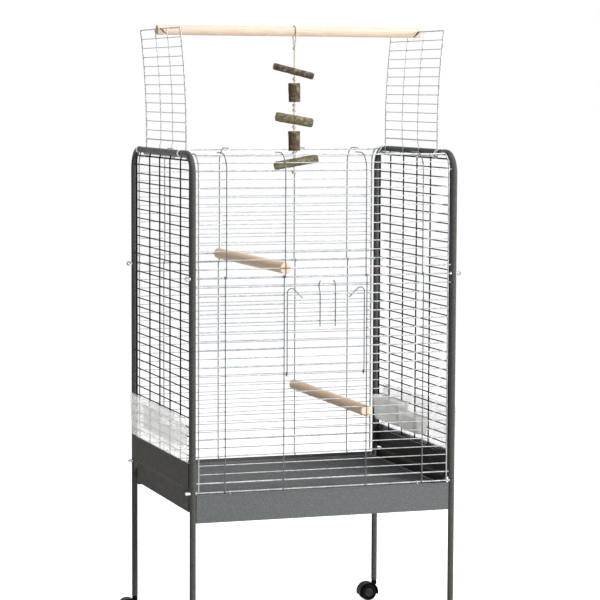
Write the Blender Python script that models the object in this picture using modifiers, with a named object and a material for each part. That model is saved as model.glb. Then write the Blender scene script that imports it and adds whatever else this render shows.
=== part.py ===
"""Aviary on casters: wire panels on two tube frames, with a roof that opens into a playground.

The origin is on the floor under the middle of the cage. +Z is up, the door looks to -Y.
All sizes are in metres. Neighbouring pieces keep the gap FIT.
"""

import math

import bmesh
import bpy
from mathutils import Matrix, Vector

# Fits
FIT = 0.0003

# Casters, with the way each one trails, 1 towards +X
WHEEL_RADIUS = 0.025
WHEEL_HALF_WIDTH = 0.0155
WHEEL_CHAMFER = 0.002
WEB_HALF = 0.0033
CASTER_TRAIL = 0.021
HOOD_RADIUS = 1.2 * WHEEL_RADIUS
HOOD_HALF_WIDTH = WHEEL_HALF_WIDTH + 5 * FIT
HOOD_FOOT_Z = 0.72 * WHEEL_RADIUS
HOOD_WALL = 0.0026
BOSS_RADIUS = 0.0080
AXLE_RADIUS = 0.0050
AXLE_HOLE_RADIUS = 1.16 * AXLE_RADIUS
STEM_RADIUS = 0.004
PLUG_LENGTH = 0.030
PLUG_FLANGE = 0.0022
CASTER_TURNS = {"front_left": -1, "front_right": 1, "rear_left": -1, "rear_right": -1}

# Side frames
FRAME_WIDTH = 0.750
FRAME_DEPTH = 0.600
TUBE_RADIUS = 0.0085
TUBE_BORE = 0.0070
BORE_DEPTH = 1.2 * PLUG_LENGTH
LEG_END_Z = 2.36 * WHEEL_RADIUS
STEM_TOP_Z = LEG_END_Z + 0.9 * PLUG_LENGTH
TOP_BAR_Z = 1.3695
CORNER_RADIUS = 0.057
CORNER_STEPS = 5
SIDE_X = FRAME_WIDTH / 2
POST_Y = FRAME_DEPTH / 2
BAR_HALF = POST_Y - CORNER_RADIUS
POST_FACE_X = SIDE_X - TUBE_RADIUS - FIT
POST_FACE_Y = POST_Y - TUBE_RADIUS - FIT

# Wires; a thin one is a square bar of the round wire's area, and FLAT is its half side per radius
ROW_RADIUS = 0.00125
UPRIGHT_RADIUS = 0.0015
EDGE_RADIUS = 0.0019
RAIL_RADIUS = 0.0022
ROD_RADIUS = 0.0020
SQUARE = math.sqrt(math.pi / 2)
FLAT = SQUARE * math.sqrt(0.5)
LAYER = FLAT * (ROW_RADIUS + UPRIGHT_RADIUS) + FIT
ROD_HOOK_RADIUS = 0.0042
HOOK_STEPS = 4

# Tie rods
MIDDLE_ROD_Z = 1.038
FLOOR_ROD_Z = 0.4605
ROD_HOLE_RADIUS = ROD_RADIUS + 2 * FIT
ROD_OVERHANG = 0.012
ROD_END_X = SIDE_X + ROD_OVERHANG
EYE_RADIUS = 0.0046
KNOB_RADIUS = 0.0045

# Front and rear grilles; every wire keeps its distance to the posts and the rods
ROW_PITCH = 0.024
DOOR_CANE_X = 0.111
DOOR_SIDE_GAP = 0.008
GRILLE_INSET = 0.016
OUTER_UPRIGHT_X = SIDE_X - GRILLE_INSET
INNER_UPRIGHTS_X = (0.76 * SIDE_X, DOOR_CANE_X + DOOR_SIDE_GAP)
UPPER_UPRIGHT_SHIFT = -2 * UPRIGHT_RADIUS
GRILLE_UPRIGHT_Y = POST_Y + ROD_HOOK_RADIUS
GRILLE_ROW_Y = GRILLE_UPRIGHT_Y - LAYER
BEND_RADIUS = 0.047
TIP_RISE = 0.0025
BEND_START_Z = TOP_BAR_Z + TIP_RISE - BEND_RADIUS
LOWER_ROWS = int((MIDDLE_ROD_Z - FLOOR_ROD_Z) / ROW_PITCH) - 1
UPPER_FLAT_ROWS = round((BEND_START_Z - MIDDLE_ROD_Z) / ROW_PITCH)
CURVED_ROW_ANGLES = (28.0, 71.0)
TIP_STEP = 0.028
OUTER_TIP_Y = BAR_HALF
INNER_TIP_Y = BAR_HALF - TIP_STEP

# Front door
HINGE_ROW = 11
DOOR_FIRST_ROW = 2
DOOR_PRONG_ROWS = (2, 5)
DOOR_LOOP_RADIUS = 0.0045
CANE_ARC_RADIUS = 0.012
CANE_DROP = 0.031
CANE_HOOK_DROP = 0.027
CANE_TOP_Z = MIDDLE_ROD_Z - CANE_DROP
CANE_TIP_X = 0.067
CANE_TIP_Z = CANE_TOP_Z - CANE_HOOK_DROP
PRONGS_X = (-0.018, 0.026)
PRONG_DROP = 0.0125
PRONG_LENGTH = 0.1235
PRONG_TIP_Z = MIDDLE_ROD_Z - PRONG_DROP
PRONG_FOOT_Z = PRONG_TIP_Z - PRONG_LENGTH
# depth behind the catch plane and drop below the tip, from the stem's end to the tip's end
PRONG_BENDS = ((0.0, 0.018), (0.0, 0.006), (0.002, 0.0), (0.006, 0.001))
PRONG_STEM_DROP = 0.030

# Sheet metal round the foot, all of it hung from the floor rods
SHEET = 0.0012
SKIRT_FOOT = 0.0105
SKIRT_HEIGHT = 0.069
SKIRT_FOLD = 0.004
SKIRT_Z = (FLOOR_ROD_Z + SKIRT_FOOT, FLOOR_ROD_Z + SKIRT_FOOT + SKIRT_HEIGHT)
SKIRT_X = SIDE_X + TUBE_RADIUS + FIT
BAND_INSET = 0.036
BAND_Y = POST_Y - BAND_INSET
BAND_LAP = 0.019
BAND_SHOULDER = (0.001, 0.009)
BAND_RAIL_WIDTH = 0.023
BAND_RAIL_DROP = 0.0555
BAND_RAIL_Z = FLOOR_ROD_Z - BAND_RAIL_DROP
APRON_DROP = 0.006
APRON_HEIGHT = 0.0755
APRON_Z = (FLOOR_ROD_Z - APRON_DROP - APRON_HEIGHT, FLOOR_ROD_Z - APRON_DROP)
APRON_LIP = 0.010
APRON_HALF_WIDTH = POST_FACE_X - 2 * FIT
TRAY_INSET = 0.013
TRAY_X = SIDE_X - TRAY_INSET
TRAY_REAR_INSET = 0.012
TRAY_REAR_Y = POST_Y - TRAY_REAR_INSET
TRAY_FRONT_Y = -POST_Y - 8 * FIT
TRAY_DEPTH = 0.0375
TRAY_RIM_Z = BAND_RAIL_Z + TRAY_DEPTH
TRAY_SHEET = 0.0016

# Floor grille
FLOOR_PITCH = 0.016
FLOOR_INSET = 0.008
FLOOR_OVERHANG = 0.004
FLOOR_X = TRAY_X - FLOOR_INSET / 8
FLOOR_FRONT_Y = -POST_Y + FLOOR_INSET
FLOOR_ROWS = int((TRAY_REAR_Y - FLOOR_FRONT_Y) / FLOOR_PITCH) + 1
FLOOR_LAST_Y = FLOOR_FRONT_Y + (FLOOR_ROWS - 1) * FLOOR_PITCH
FLOOR_RIBS_X = (-2 * SIDE_X / 3, 0.0, 2 * SIDE_X / 3)
FLOOR_Z = TRAY_RIM_Z + FIT + FLAT * RAIL_RADIUS

# Side meshes; the same panel stands on both sides, turned half round, so its uprights differ
MESH_PITCH = 0.0256
MESH_DROP = 0.0175
MESH_TOP_Z = TOP_BAR_Z - MESH_DROP
MESH_LAP = 0.010
MESH_FOOT_Z = SKIRT_Z[1] - MESH_LAP
MESH_ROWS = int((MESH_TOP_Z - MESH_FOOT_Z) / MESH_PITCH) + 1
MESH_RAIL_INSET = 0.028
MESH_RAIL_Y = POST_Y - MESH_RAIL_INSET
MESH_RAIL_GAP = 0.004
MESH_UPRIGHTS_Y = (0.192, 0.088, -0.016, -0.120)
MESH_TIED_ROWS = (0, 1, MESH_ROWS // 3, 2 * MESH_ROWS // 3)
MESH_EDGE_ROWS = (0, MESH_ROWS - 1)

# Roof flaps, drawn for the +X side
FLAP_PITCH = 0.0255
FLAP_ROWS = 13
FLAP_RISE = 0.0313
FLAP_FIRST_Z = TOP_BAR_Z + FLAP_RISE
FLAP_RAIL_INSET = 0.042
FLAP_RAIL_Y = BAR_HALF - FLAP_RAIL_INSET
FLAP_UPRIGHTS_Y = (-0.060, 0.060)
FLAP_TIED_ROWS = (0, FLAP_ROWS - 1)
FLAP_STEP = (0.014, 0.006)
FLAP_X = POST_FACE_X - FLAT * RAIL_RADIUS
FLAP_HOOK_RADIUS = 0.0048
FLAP_HINGE_X = FLAP_X - FLAP_HOOK_RADIUS
HINGE_ROD_DROP = 0.0115
FLAP_HINGE_Z = TOP_BAR_Z - HINGE_ROD_DROP
FLAP_TOP_Z = FLAP_FIRST_Z + (FLAP_ROWS - 1) * FLAP_PITCH
FLARE_START_Z = FLAP_FIRST_Z + FLAP_PITCH
FLARE_STEPS = 5
FLARE = 0.017
CLIP_WIDTH = 0.012
CLIP_WALL = 0.0016
# how far the two rod ends and the two clips lie inside the straight part of the top bar
HINGE_ROD_INSETS = (0.031, -0.004)
CLIP_INSETS = (0.055, 0.008)
HINGE_ROD_Y = (HINGE_ROD_INSETS[0] - BAR_HALF, BAR_HALF - HINGE_ROD_INSETS[1])
CLIPS_Y = (CLIP_INSETS[0] - BAR_HALF, BAR_HALF - CLIP_INSETS[1])

# Perches; the top one spans the two flaps and carries the toy
TOP_PERCH_RADIUS = 0.0135
PERCH_OVERHANG = 0.00925
TOP_PERCH_LENGTH = 2 * (FLAP_X + FLARE + PERCH_OVERHANG)
PERCH_DROP = 0.0028
TOP_PERCH_Z = FLAP_TOP_Z - PERCH_DROP
NOTCH_WIDTH = 2 * EDGE_RADIUS + 4 * FIT
NOTCH_SLOPE = math.radians(46.0)
INNER_PERCH_RADIUS = 0.0155
INNER_PERCH_OVERHANG = 0.003
INNER_PERCH_END_Y = GRILLE_UPRIGHT_Y + INNER_PERCH_OVERHANG
UPPER_PERCH_X = -INNER_UPRIGHTS_X[1] - UPPER_UPRIGHT_SHIFT
UPPER_PERCH_Z = MIDDLE_ROD_Z + ROW_PITCH
LOWER_PERCH_X = INNER_UPRIGHTS_X[1]
LOWER_PERCH_Z = MIDDLE_ROD_Z - 15.5 * ROW_PITCH
KERF_REACH = 0.002

# Clear plastic
GUARD_INSETS = (0.020, 0.010)
GUARD_Y = (GUARD_INSETS[0] - POST_Y, POST_Y - GUARD_INSETS[1])
GUARD_HEIGHT = 0.125
GUARD_LEAN = 0.0127
GUARD_LAP = 0.014
GUARD_TOP_Z = SKIRT_Z[1] + GUARD_HEIGHT
GUARD_TOP_X = SKIRT_X + GUARD_LEAN
GUARD_FOOT_Z = SKIRT_Z[1] - GUARD_LAP
GUARD_SHEET = 0.0020
CUP_WALL = 0.0022
CUP_MOUTH_DEPTH = 0.041
CUP_FLOOR_DEPTH = 0.034
CUP_HOOK_WIDTH = 0.008
CUP_HOOK_WALL = 0.0020
CUP_HOOK_DROP = 0.0040
CUP_HOOK_INSET = 0.020
CUP_TAPER = 0.006
# end, span along Y, mesh row that carries the hooks counted from the foot, depth below that row
CUPS = (("rear", (0.014, 0.219), 5, 0.0682), ("front", (-0.131, 0.013), 4, 0.0446))

# Wire hooks on the front floor rod
RAIL_HOOK_INSET = 0.103
RAIL_HOOK_X = SIDE_X - RAIL_HOOK_INSET
RAIL_HOOK_RADIUS = 0.0011
RAIL_HOOK_REACH = 0.0090

# Hanging toy, all of it at Y = 0 and measured down from the top perch's middle
TOY_X = 0.011
ROPE_RADIUS = 0.0022
ROPE_LOOP_RADIUS = TOP_PERCH_RADIUS + ROPE_RADIUS + 3 * FIT
ROPE_NECK_DROP = 0.046
ROPE_NECK_HALF = 0.0030
ROPE_LENGTH = 0.401
KNOT_RADIUS = 0.0065
KNOT_HEIGHT = 0.010
# name, (x, drop) of one end, (x, drop) of the other, radius
TOY_PIECES = (
    ("toy_stick_top", (-0.050, 0.097), (0.066, 0.125), 0.0100),
    ("toy_log_upper", (0.0105, 0.144), (0.0115, 0.197), 0.0175),
    ("toy_stick_middle", (-0.042, 0.238), (0.064, 0.256), 0.0135),
    ("toy_log_lower", (0.0105, 0.279), (0.0115, 0.334), 0.0175),
    ("toy_stick_bottom", (-0.046, 0.377), (0.080, 0.356), 0.0125),
)

# Joint axis, a point on it, and the pieces that turn or slide there
JOINT_AXES = (
    ("door_axis", (0.0, -GRILLE_ROW_Y, MIDDLE_ROD_Z - HINGE_ROW * ROW_PITCH), ("front_door",)),
    ("left_flap_axis", (-FLAP_HINGE_X, 0.0, FLAP_HINGE_Z), ("left_roof_flap",)),
    ("right_flap_axis", (FLAP_HINGE_X, 0.0, FLAP_HINGE_Z), ("right_roof_flap",)),
    ("perch_axis", (0.0, 0.0, TOP_PERCH_Z), ("top_perch", "toy_rope", *(toy[0] for toy in TOY_PIECES))),
    ("tray_axis", (0.0, TRAY_FRONT_Y, BAND_RAIL_Z + FIT), ("tray",)),
    ("floor_grille_axis", (0.0, 0.0, TRAY_RIM_Z), ("floor_grille",)),
    ("left_hook_axis", (-RAIL_HOOK_X, -POST_Y, FLOOR_ROD_Z), ("left_rail_hook",)),
    ("right_hook_axis", (RAIL_HOOK_X, -POST_Y, FLOOR_ROD_Z), ("right_rail_hook",)),
    ("left_guard_axis", (-SKIRT_X, 0.0, SKIRT_Z[1]), ("left_seed_guard",)),
    ("right_guard_axis", (SKIRT_X, 0.0, SKIRT_Z[1]), ("right_seed_guard",)),
)

# Colour, roughness and metallic value of each finish
FINISHES = {
    "hammered": ((0.15, 0.155, 0.15), 0.45, 0.6),
    "anthracite": ((0.035, 0.037, 0.036), 0.40, 0.5),
    "black_wire": ((0.022, 0.022, 0.021), 0.45, 0.3),
    "zinc": ((0.62, 0.64, 0.66), 0.28, 1.0),
    "beech": ((0.64, 0.42, 0.26), 0.60, 0.0),
    "bark": ((0.11, 0.083, 0.055), 0.85, 0.0),
    "rope": ((0.80, 0.76, 0.64), 0.90, 0.0),
    "clear": ((0.85, 0.86, 0.84), 0.12, 0.0),
    "black_plastic": ((0.012, 0.012, 0.012), 0.40, 0.0),
}


def new_collection(name):
    """Make a collection in the scene."""
    collection = bpy.data.collections.new(name)
    bpy.context.scene.collection.children.link(collection)
    return collection


def make_material(name, finish):
    """Make a Principled material from one entry of FINISHES."""
    colour, roughness, metallic = FINISHES[finish]
    material = bpy.data.materials.new(name)
    material.use_nodes = True
    shader = material.node_tree.nodes["Principled BSDF"]
    shader.inputs["Base Color"].default_value = (*colour, 1.0)
    shader.inputs["Roughness"].default_value = roughness
    shader.inputs["Metallic"].default_value = metallic
    if finish == "clear":
        shader.inputs["Transmission Weight"].default_value = 0.9
    return material


def add_piece(name, mesh, finish):
    """Put a mesh in the aviary as one named piece with its own material."""
    mesh.name = name
    piece = bpy.data.objects.new(name, mesh)
    parts.objects.link(piece)
    mesh.materials.clear()
    mesh.materials.append(make_material(name + "_finish", finish))
    mesh.shade_smooth()
    mesh.set_sharp_from_angle(angle=math.radians(35.0))
    return piece


def add_tool(name, mesh):
    """Put a mesh among the hidden shapes that cut or join pieces."""
    tool = bpy.data.objects.new(name, mesh)
    tools.objects.link(tool)
    tool.hide_render = True
    tool.display_type = "WIRE"
    return tool


def combine(piece, mesh, operation):
    """Join a mesh to a piece, or cut it out of the piece."""
    tool = add_tool(f"{piece.name}_{operation.lower()}_{len(piece.modifiers)}", mesh)
    modifier = piece.modifiers.new(tool.name, "BOOLEAN")
    modifier.operation = operation
    modifier.solver = "EXACT"
    modifier.object = tool


def wires(runs, sides=4):
    """Return one mesh with a capped tube along each (points, radius) run; four sides are a bar."""
    bar = sides == 4
    curve = bpy.data.curves.new("wires", "CURVE")
    curve.dimensions = "3D"
    curve.bevel_depth = 1.0
    curve.bevel_resolution = sides // 2 - 2
    curve.use_fill_caps = True
    for points, radius in runs:
        spline = curve.splines.new("POLY")
        spline.points.add(len(points) - 1)
        for knot, place in zip(spline.points, points):
            knot.co = (*place, 1.0)
            knot.radius = radius * SQUARE if bar else radius
            knot.tilt = math.radians(45.0) if bar else 0.0
    carrier = bpy.data.objects.new("wires", curve)
    tools.objects.link(carrier)
    bpy.context.view_layer.update()
    evaluated = carrier.evaluated_get(bpy.context.evaluated_depsgraph_get())
    mesh = bpy.data.meshes.new_from_object(evaluated)
    mesh.transform(carrier.matrix_world)
    bpy.data.objects.remove(carrier)
    bpy.data.curves.remove(curve)
    shape = bmesh.new()
    shape.from_mesh(mesh)
    bmesh.ops.remove_doubles(shape, verts=shape.verts, dist=0.00001)
    shape.to_mesh(mesh)
    shape.free()
    return mesh


def shape_mesh(name, shape):
    """Turn a bmesh into a mesh and free it."""
    bmesh.ops.recalc_face_normals(shape, faces=shape.faces)
    mesh = bpy.data.meshes.new(name)
    shape.to_mesh(mesh)
    shape.free()
    return mesh


def box(low, high):
    """Return a box mesh between two corners."""
    shape = bmesh.new()
    middle = (Vector(low) + Vector(high)) / 2
    size = Vector(high) - Vector(low)
    place = Matrix.Translation(middle) @ Matrix.Diagonal((*size, 1.0))
    bmesh.ops.create_cube(shape, size=1.0, matrix=place)
    return shape_mesh("box", shape)


def prism(outline, y_span):
    """Return an (x, z) outline stretched along Y."""
    shape = bmesh.new()
    face = shape.faces.new([shape.verts.new((x, y_span[0], z)) for x, z in outline])
    swept = bmesh.ops.extrude_face_region(shape, geom=[face])
    moved = [item for item in swept["geom"] if isinstance(item, bmesh.types.BMVert)]
    bmesh.ops.translate(shape, verts=moved, vec=(0.0, y_span[1] - y_span[0], 0.0))
    return shape_mesh("prism", shape)


def drum(start, end, radius, sides=16, end_radius=None):
    """Return a cylinder or cone mesh between two points."""
    start = Vector(start)
    along = Vector(end) - start
    turn = along.to_track_quat("Z", "Y").to_matrix().to_4x4()
    place = Matrix.Translation(start + along / 2) @ turn
    shape = bmesh.new()
    bmesh.ops.create_cone(
        shape,
        cap_ends=True,
        segments=sides,
        radius1=radius,
        radius2=radius if end_radius is None else end_radius,
        depth=along.length,
        matrix=place,
    )
    return shape_mesh("drum", shape)


def turned(name, profile, finish, pivot, axis="Z", steps=20):
    """Turn a (radius, height) profile, listed top to bottom, about an axis through the pivot."""
    shape = bmesh.new()
    knots = [shape.verts.new((radius, 0.0, height)) for radius, height in profile]
    for first, second in zip(knots, knots[1:]):
        shape.edges.new((first, second))
    if profile[0][0] > 0.0:
        shape.edges.new((knots[-1], knots[0]))
    mesh = bpy.data.meshes.new(name)
    shape.to_mesh(mesh)
    shape.free()
    piece = add_piece(name, mesh, finish)
    screw = piece.modifiers.new("turn", "SCREW")
    screw.axis = "Z"
    screw.steps = steps
    screw.render_steps = steps
    screw.use_merge_vertices = True
    screw.merge_threshold = 0.00001
    piece.location = pivot
    if axis == "Y":
        piece.rotation_euler = (math.radians(-90.0), 0.0, 0.0)
    return piece


def folded_sheet(name, profile, y_span, side, finish, thickness=SHEET, outward=True):
    """Fold a sheet along Y from an (x, z) profile, then give it its thickness."""
    shape = bmesh.new()
    rows = []
    for y in y_span:
        rows.append([shape.verts.new((side * x, y, z)) for x, z in profile])
    for index in range(len(profile) - 1):
        shape.faces.new((rows[0][index], rows[0][index + 1], rows[1][index + 1], rows[1][index]))
    mesh = bpy.data.meshes.new(name)
    shape.to_mesh(mesh)
    shape.free()
    piece = add_piece(name, mesh, finish)
    solid = piece.modifiers.new("thickness", "SOLIDIFY")
    solid.thickness = thickness
    solid.offset = side if outward else -side
    solid.use_even_offset = True
    return piece


def hang_on_axis(name, pivot, names):
    """Parent the named pieces to an empty on their joint's axis, without moving them."""
    empty = bpy.data.objects.new(name, None)
    empty.location = pivot
    empty.empty_display_size = 0.02
    parts.objects.link(empty)
    for piece_name in names:
        piece = bpy.data.objects[piece_name]
        piece.parent = empty
        piece.matrix_parent_inverse = Matrix.Translation(-Vector(pivot))


def arc(centre, radius, start, sweep, steps):
    """Return points on an arc in a plane; angles are in degrees from the first axis."""
    angles = [math.radians(start + sweep * step / steps) for step in range(steps + 1)]
    return [(centre[0] + radius * math.cos(a), centre[1] + radius * math.sin(a)) for a in angles]


def side_frame(name, side):
    """An inverted U of round tube, drilled for the four tie rods and bored for its plugs."""
    bend_y = POST_Y - CORNER_RADIUS
    bend_z = TOP_BAR_Z - CORNER_RADIUS
    route = [(side * SIDE_X, -POST_Y, LEG_END_Z)]
    for y, z in arc((-bend_y, bend_z), CORNER_RADIUS, 180.0, -90.0, CORNER_STEPS):
        route.append((side * SIDE_X, y, z))
    for y, z in arc((bend_y, bend_z), CORNER_RADIUS, 90.0, -90.0, CORNER_STEPS):
        route.append((side * SIDE_X, y, z))
    route.append((side * SIDE_X, POST_Y, LEG_END_Z))
    piece = add_piece(name, wires([(route, TUBE_RADIUS)], sides=12), "anthracite")
    for y in (-POST_Y, POST_Y):
        foot = (side * SIDE_X, y, LEG_END_Z - TUBE_RADIUS)
        bore_end = (side * SIDE_X, y, LEG_END_Z + BORE_DEPTH)
        combine(piece, drum(foot, bore_end, TUBE_BORE, sides=12), "DIFFERENCE")
        for z in (MIDDLE_ROD_Z, FLOOR_ROD_Z):
            start = (side * SIDE_X - 2 * TUBE_RADIUS, y, z)
            end = (side * SIDE_X + 2 * TUBE_RADIUS, y, z)
            combine(piece, drum(start, end, ROD_HOLE_RADIUS, sides=8), "DIFFERENCE")
    return piece


def middle_tie_rod(name, y):
    """A tie rod at half height, with an eye bent outside each post."""
    route = []
    for x, z in arc((-ROD_END_X - EYE_RADIUS, MIDDLE_ROD_Z), EYE_RADIUS, 300.0, -300.0, 7):
        route.append((x, y, z))
    for x, z in arc((ROD_END_X + EYE_RADIUS, MIDDLE_ROD_Z), EYE_RADIUS, 180.0, 300.0, 7):
        route.append((x, y, z))
    return add_piece(name, wires([(route, ROD_RADIUS)], sides=6), "zinc")


def floor_tie_rod(name, y):
    """A tie rod at floor height, with a round knob outside each post."""
    route = [(-ROD_END_X, y, FLOOR_ROD_Z), (ROD_END_X, y, FLOOR_ROD_Z)]
    piece = add_piece(name, wires([(route, ROD_RADIUS)], sides=8), "zinc")
    for side in (-1, 1):
        inner = (side * (SIDE_X + TUBE_RADIUS + FIT), y, FLOOR_ROD_Z)
        outer = (side * (ROD_END_X + 2 * EYE_RADIUS), y, FLOOR_ROD_Z)
        knob = drum(inner, outer, KNOB_RADIUS, sides=10, end_radius=0.7 * KNOB_RADIUS)
        combine(piece, knob, "UNION")
    return piece


def grille_row(side, z, half_span, radius):
    """A full row of a front or rear grille."""
    y = side * GRILLE_ROW_Y
    return [(-half_span, y, z), (half_span, y, z)], radius


def lower_grille(name, side, has_door):
    """The panel between the tie rods; its inner wires hook on both of them."""
    rows = []
    for index in range(1, LOWER_ROWS + 1):
        z = MIDDLE_ROD_Z - index * ROW_PITCH
        tied = index in (1, LOWER_ROWS)
        radius = EDGE_RADIUS if tied else ROW_RADIUS
        if has_door and DOOR_FIRST_ROW <= index < HINGE_ROW:
            y = side * GRILLE_ROW_Y
            stop = INNER_UPRIGHTS_X[1] - UPRIGHT_RADIUS
            rows.append(([(-OUTER_UPRIGHT_X, y, z), (-stop, y, z)], EDGE_RADIUS))
            rows.append(([(stop, y, z), (OUTER_UPRIGHT_X, y, z)], EDGE_RADIUS))
        else:
            rows.append(grille_row(side, z, POST_FACE_X if tied else OUTER_UPRIGHT_X, radius))
    uprights = []
    top = MIDDLE_ROD_Z - ROD_RADIUS - FIT
    foot = FLOOR_ROD_Z + ROD_RADIUS + FIT
    for x in (-OUTER_UPRIGHT_X, OUTER_UPRIGHT_X):
        y = side * GRILLE_ROW_Y
        uprights.append(([(x, y, foot), (x, y, top)], RAIL_RADIUS))
    for reach in INNER_UPRIGHTS_X:
        for x in (-reach, reach):
            over = hook_points(side, x, MIDDLE_ROD_Z, 1)
            under = hook_points(side, x, FLOOR_ROD_Z, -1)
            uprights.append((list(reversed(under)) + over, UPRIGHT_RADIUS))
    piece = add_piece(name, wires(rows), "zinc")
    combine(piece, wires(uprights), "UNION")
    return piece


def hook_points(side, x, z, turn):
    """Points of a hook round a tie rod, from the wire's side; turn is 1 over and -1 under."""
    points = []
    for step in range(HOOK_STEPS + 1):
        angle = math.radians(225.0 * step / HOOK_STEPS)
        out = ROD_HOOK_RADIUS * math.cos(angle)
        up = turn * ROD_HOOK_RADIUS * math.sin(angle)
        points.append((x, side * (POST_Y + out), z + up))
    return points


def upper_grille(name, side):
    """The panel above the middle rods, whose top bends back over the cage."""
    rows = []
    for index in range(1, UPPER_FLAT_ROWS + 1):
        span = POST_FACE_X if index in (1, UPPER_FLAT_ROWS) else OUTER_UPRIGHT_X
        radius = EDGE_RADIUS if index == 1 else ROW_RADIUS
        rows.append(grille_row(side, MIDDLE_ROD_Z + index * ROW_PITCH, span, radius))
    for angle, radius in zip(CURVED_ROW_ANGLES, (ROW_RADIUS, EDGE_RADIUS)):
        y, z = bend_point(GRILLE_ROW_Y, BEND_RADIUS - LAYER, angle)
        rows.append(([(-OUTER_UPRIGHT_X, side * y, z), (OUTER_UPRIGHT_X, side * y, z)], radius))
    uprights = []
    for reach in (OUTER_UPRIGHT_X, *INNER_UPRIGHTS_X):
        outer = reach == OUTER_UPRIGHT_X
        plane = GRILLE_ROW_Y if outer else GRILLE_UPRIGHT_Y
        bend = BEND_RADIUS - LAYER if outer else BEND_RADIUS
        tip = OUTER_TIP_Y if outer else INNER_TIP_Y
        foot = MIDDLE_ROD_Z + ROD_RADIUS + FIT if outer else MIDDLE_ROD_Z - ROD_RADIUS
        offset = 0.0 if outer else UPPER_UPRIGHT_SHIFT
        for hand in (-1, 1):
            x = hand * (reach + offset)
            route = [(x, side * plane, foot)]
            for step in range(5):
                y, z = bend_point(plane, bend, 90.0 * step / 4)
                route.append((x, side * y, z))
            route.append((x, side * tip, route[-1][2]))
            uprights.append((route, RAIL_RADIUS if outer else UPRIGHT_RADIUS))
    piece = add_piece(name, wires(rows), "zinc")
    combine(piece, wires(uprights), "UNION")
    return piece


def bend_point(plane, radius, angle):
    """A point (y, z) on the upper grille's bend, at an angle in degrees from its start."""
    turn = math.radians(angle)
    return plane - radius * (1 - math.cos(turn)), BEND_START_Z + radius * math.sin(turn)


def front_door():
    """The door: two canes that loop round a grille wire, their rows, and two catch prongs."""
    hinge_y = -GRILLE_ROW_Y
    hinge_z = MIDDLE_ROD_Z - HINGE_ROW * ROW_PITCH
    plane = hinge_y - DOOR_LOOP_RADIUS
    rows = []
    for index in range(DOOR_FIRST_ROW, HINGE_ROW):
        z = MIDDLE_ROD_Z - index * ROW_PITCH
        radius = EDGE_RADIUS if index in DOOR_PRONG_ROWS else ROW_RADIUS
        rows.append(([(-DOOR_CANE_X, plane, z), (DOOR_CANE_X, plane, z)], radius))
    canes = []
    for side in (-1, 1):
        loop = arc((hinge_y, hinge_z), DOOR_LOOP_RADIUS, 470.0, -290.0, 8)
        route = [(side * DOOR_CANE_X, y, z) for y, z in loop]
        crook = (DOOR_CANE_X - CANE_ARC_RADIUS, CANE_TOP_Z - CANE_ARC_RADIUS)
        for x, z in arc(crook, CANE_ARC_RADIUS, 0.0, 125.0, 5):
            route.append((side * x, plane, z))
        route.append((side * CANE_TIP_X, plane, CANE_TIP_Z))
        canes.append((route, UPRIGHT_RADIUS))
    prong_y = plane - LAYER
    tip_y = hinge_y - FLAT * (EDGE_RADIUS + UPRIGHT_RADIUS) - 2 * FIT
    prongs = []
    for x in PRONGS_X:
        route = [
            (x, prong_y, PRONG_FOOT_Z),
            (x, prong_y, PRONG_TIP_Z - PRONG_STEM_DROP),
        ]
        route += [(x, tip_y + back, PRONG_TIP_Z - drop) for back, drop in PRONG_BENDS]
        prongs.append((route, UPRIGHT_RADIUS))
    piece = add_piece("front_door", wires(rows), "zinc")
    combine(piece, wires(canes), "UNION")
    combine(piece, wires(prongs), "UNION")
    return piece


def post_reach(z, radius):
    """How far a wire of the side mesh may reach along Y at a height, inside posts and corners."""
    over = z + radius - (TOP_BAR_Z - CORNER_RADIUS)
    if over <= 0.0:
        return POST_FACE_Y
    hollow = CORNER_RADIUS * math.cos(math.radians(45.0 / CORNER_STEPS)) - TUBE_RADIUS
    return BAR_HALF + math.sqrt(hollow * hollow - over * over) - FIT


def side_mesh(name, side):
    """A black wire mesh in the plane of a side frame, tied to the posts at four of its rows."""
    rows = []
    for index in range(MESH_ROWS):
        z = MESH_TOP_Z - index * MESH_PITCH
        radius = EDGE_RADIUS if index in MESH_EDGE_ROWS else ROW_RADIUS
        y = post_reach(z, radius) if index in MESH_TIED_ROWS else MESH_RAIL_Y
        rows.append(([(side * SIDE_X, -y, z), (side * SIDE_X, y, z)], radius))
    uprights = []
    rail_top = MESH_TOP_Z - MESH_RAIL_GAP
    for y in (-MESH_RAIL_Y, MESH_RAIL_Y):
        x = side * SIDE_X
        uprights.append(([(x, y, MESH_FOOT_Z), (x, y, rail_top)], RAIL_RADIUS))
    bar = TOP_BAR_Z - TUBE_RADIUS - FIT
    for reach in MESH_UPRIGHTS_Y:
        x = side * (SIDE_X + LAYER)
        y = side * reach
        route = [(x, y, MESH_FOOT_Z), (x, y, MESH_TOP_Z), (side * SIDE_X, y, bar)]
        uprights.append((route, UPRIGHT_RADIUS))
    piece = add_piece(name, wires(rows), "black_wire")
    combine(piece, wires(uprights), "UNION")
    return piece


def flare(z):
    """How far a raised flap leans outward at a height."""
    rise = max(0.0, (z - FLARE_START_Z) / (FLAP_TOP_Z - FLARE_START_Z))
    return FLARE * rise * rise


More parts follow.
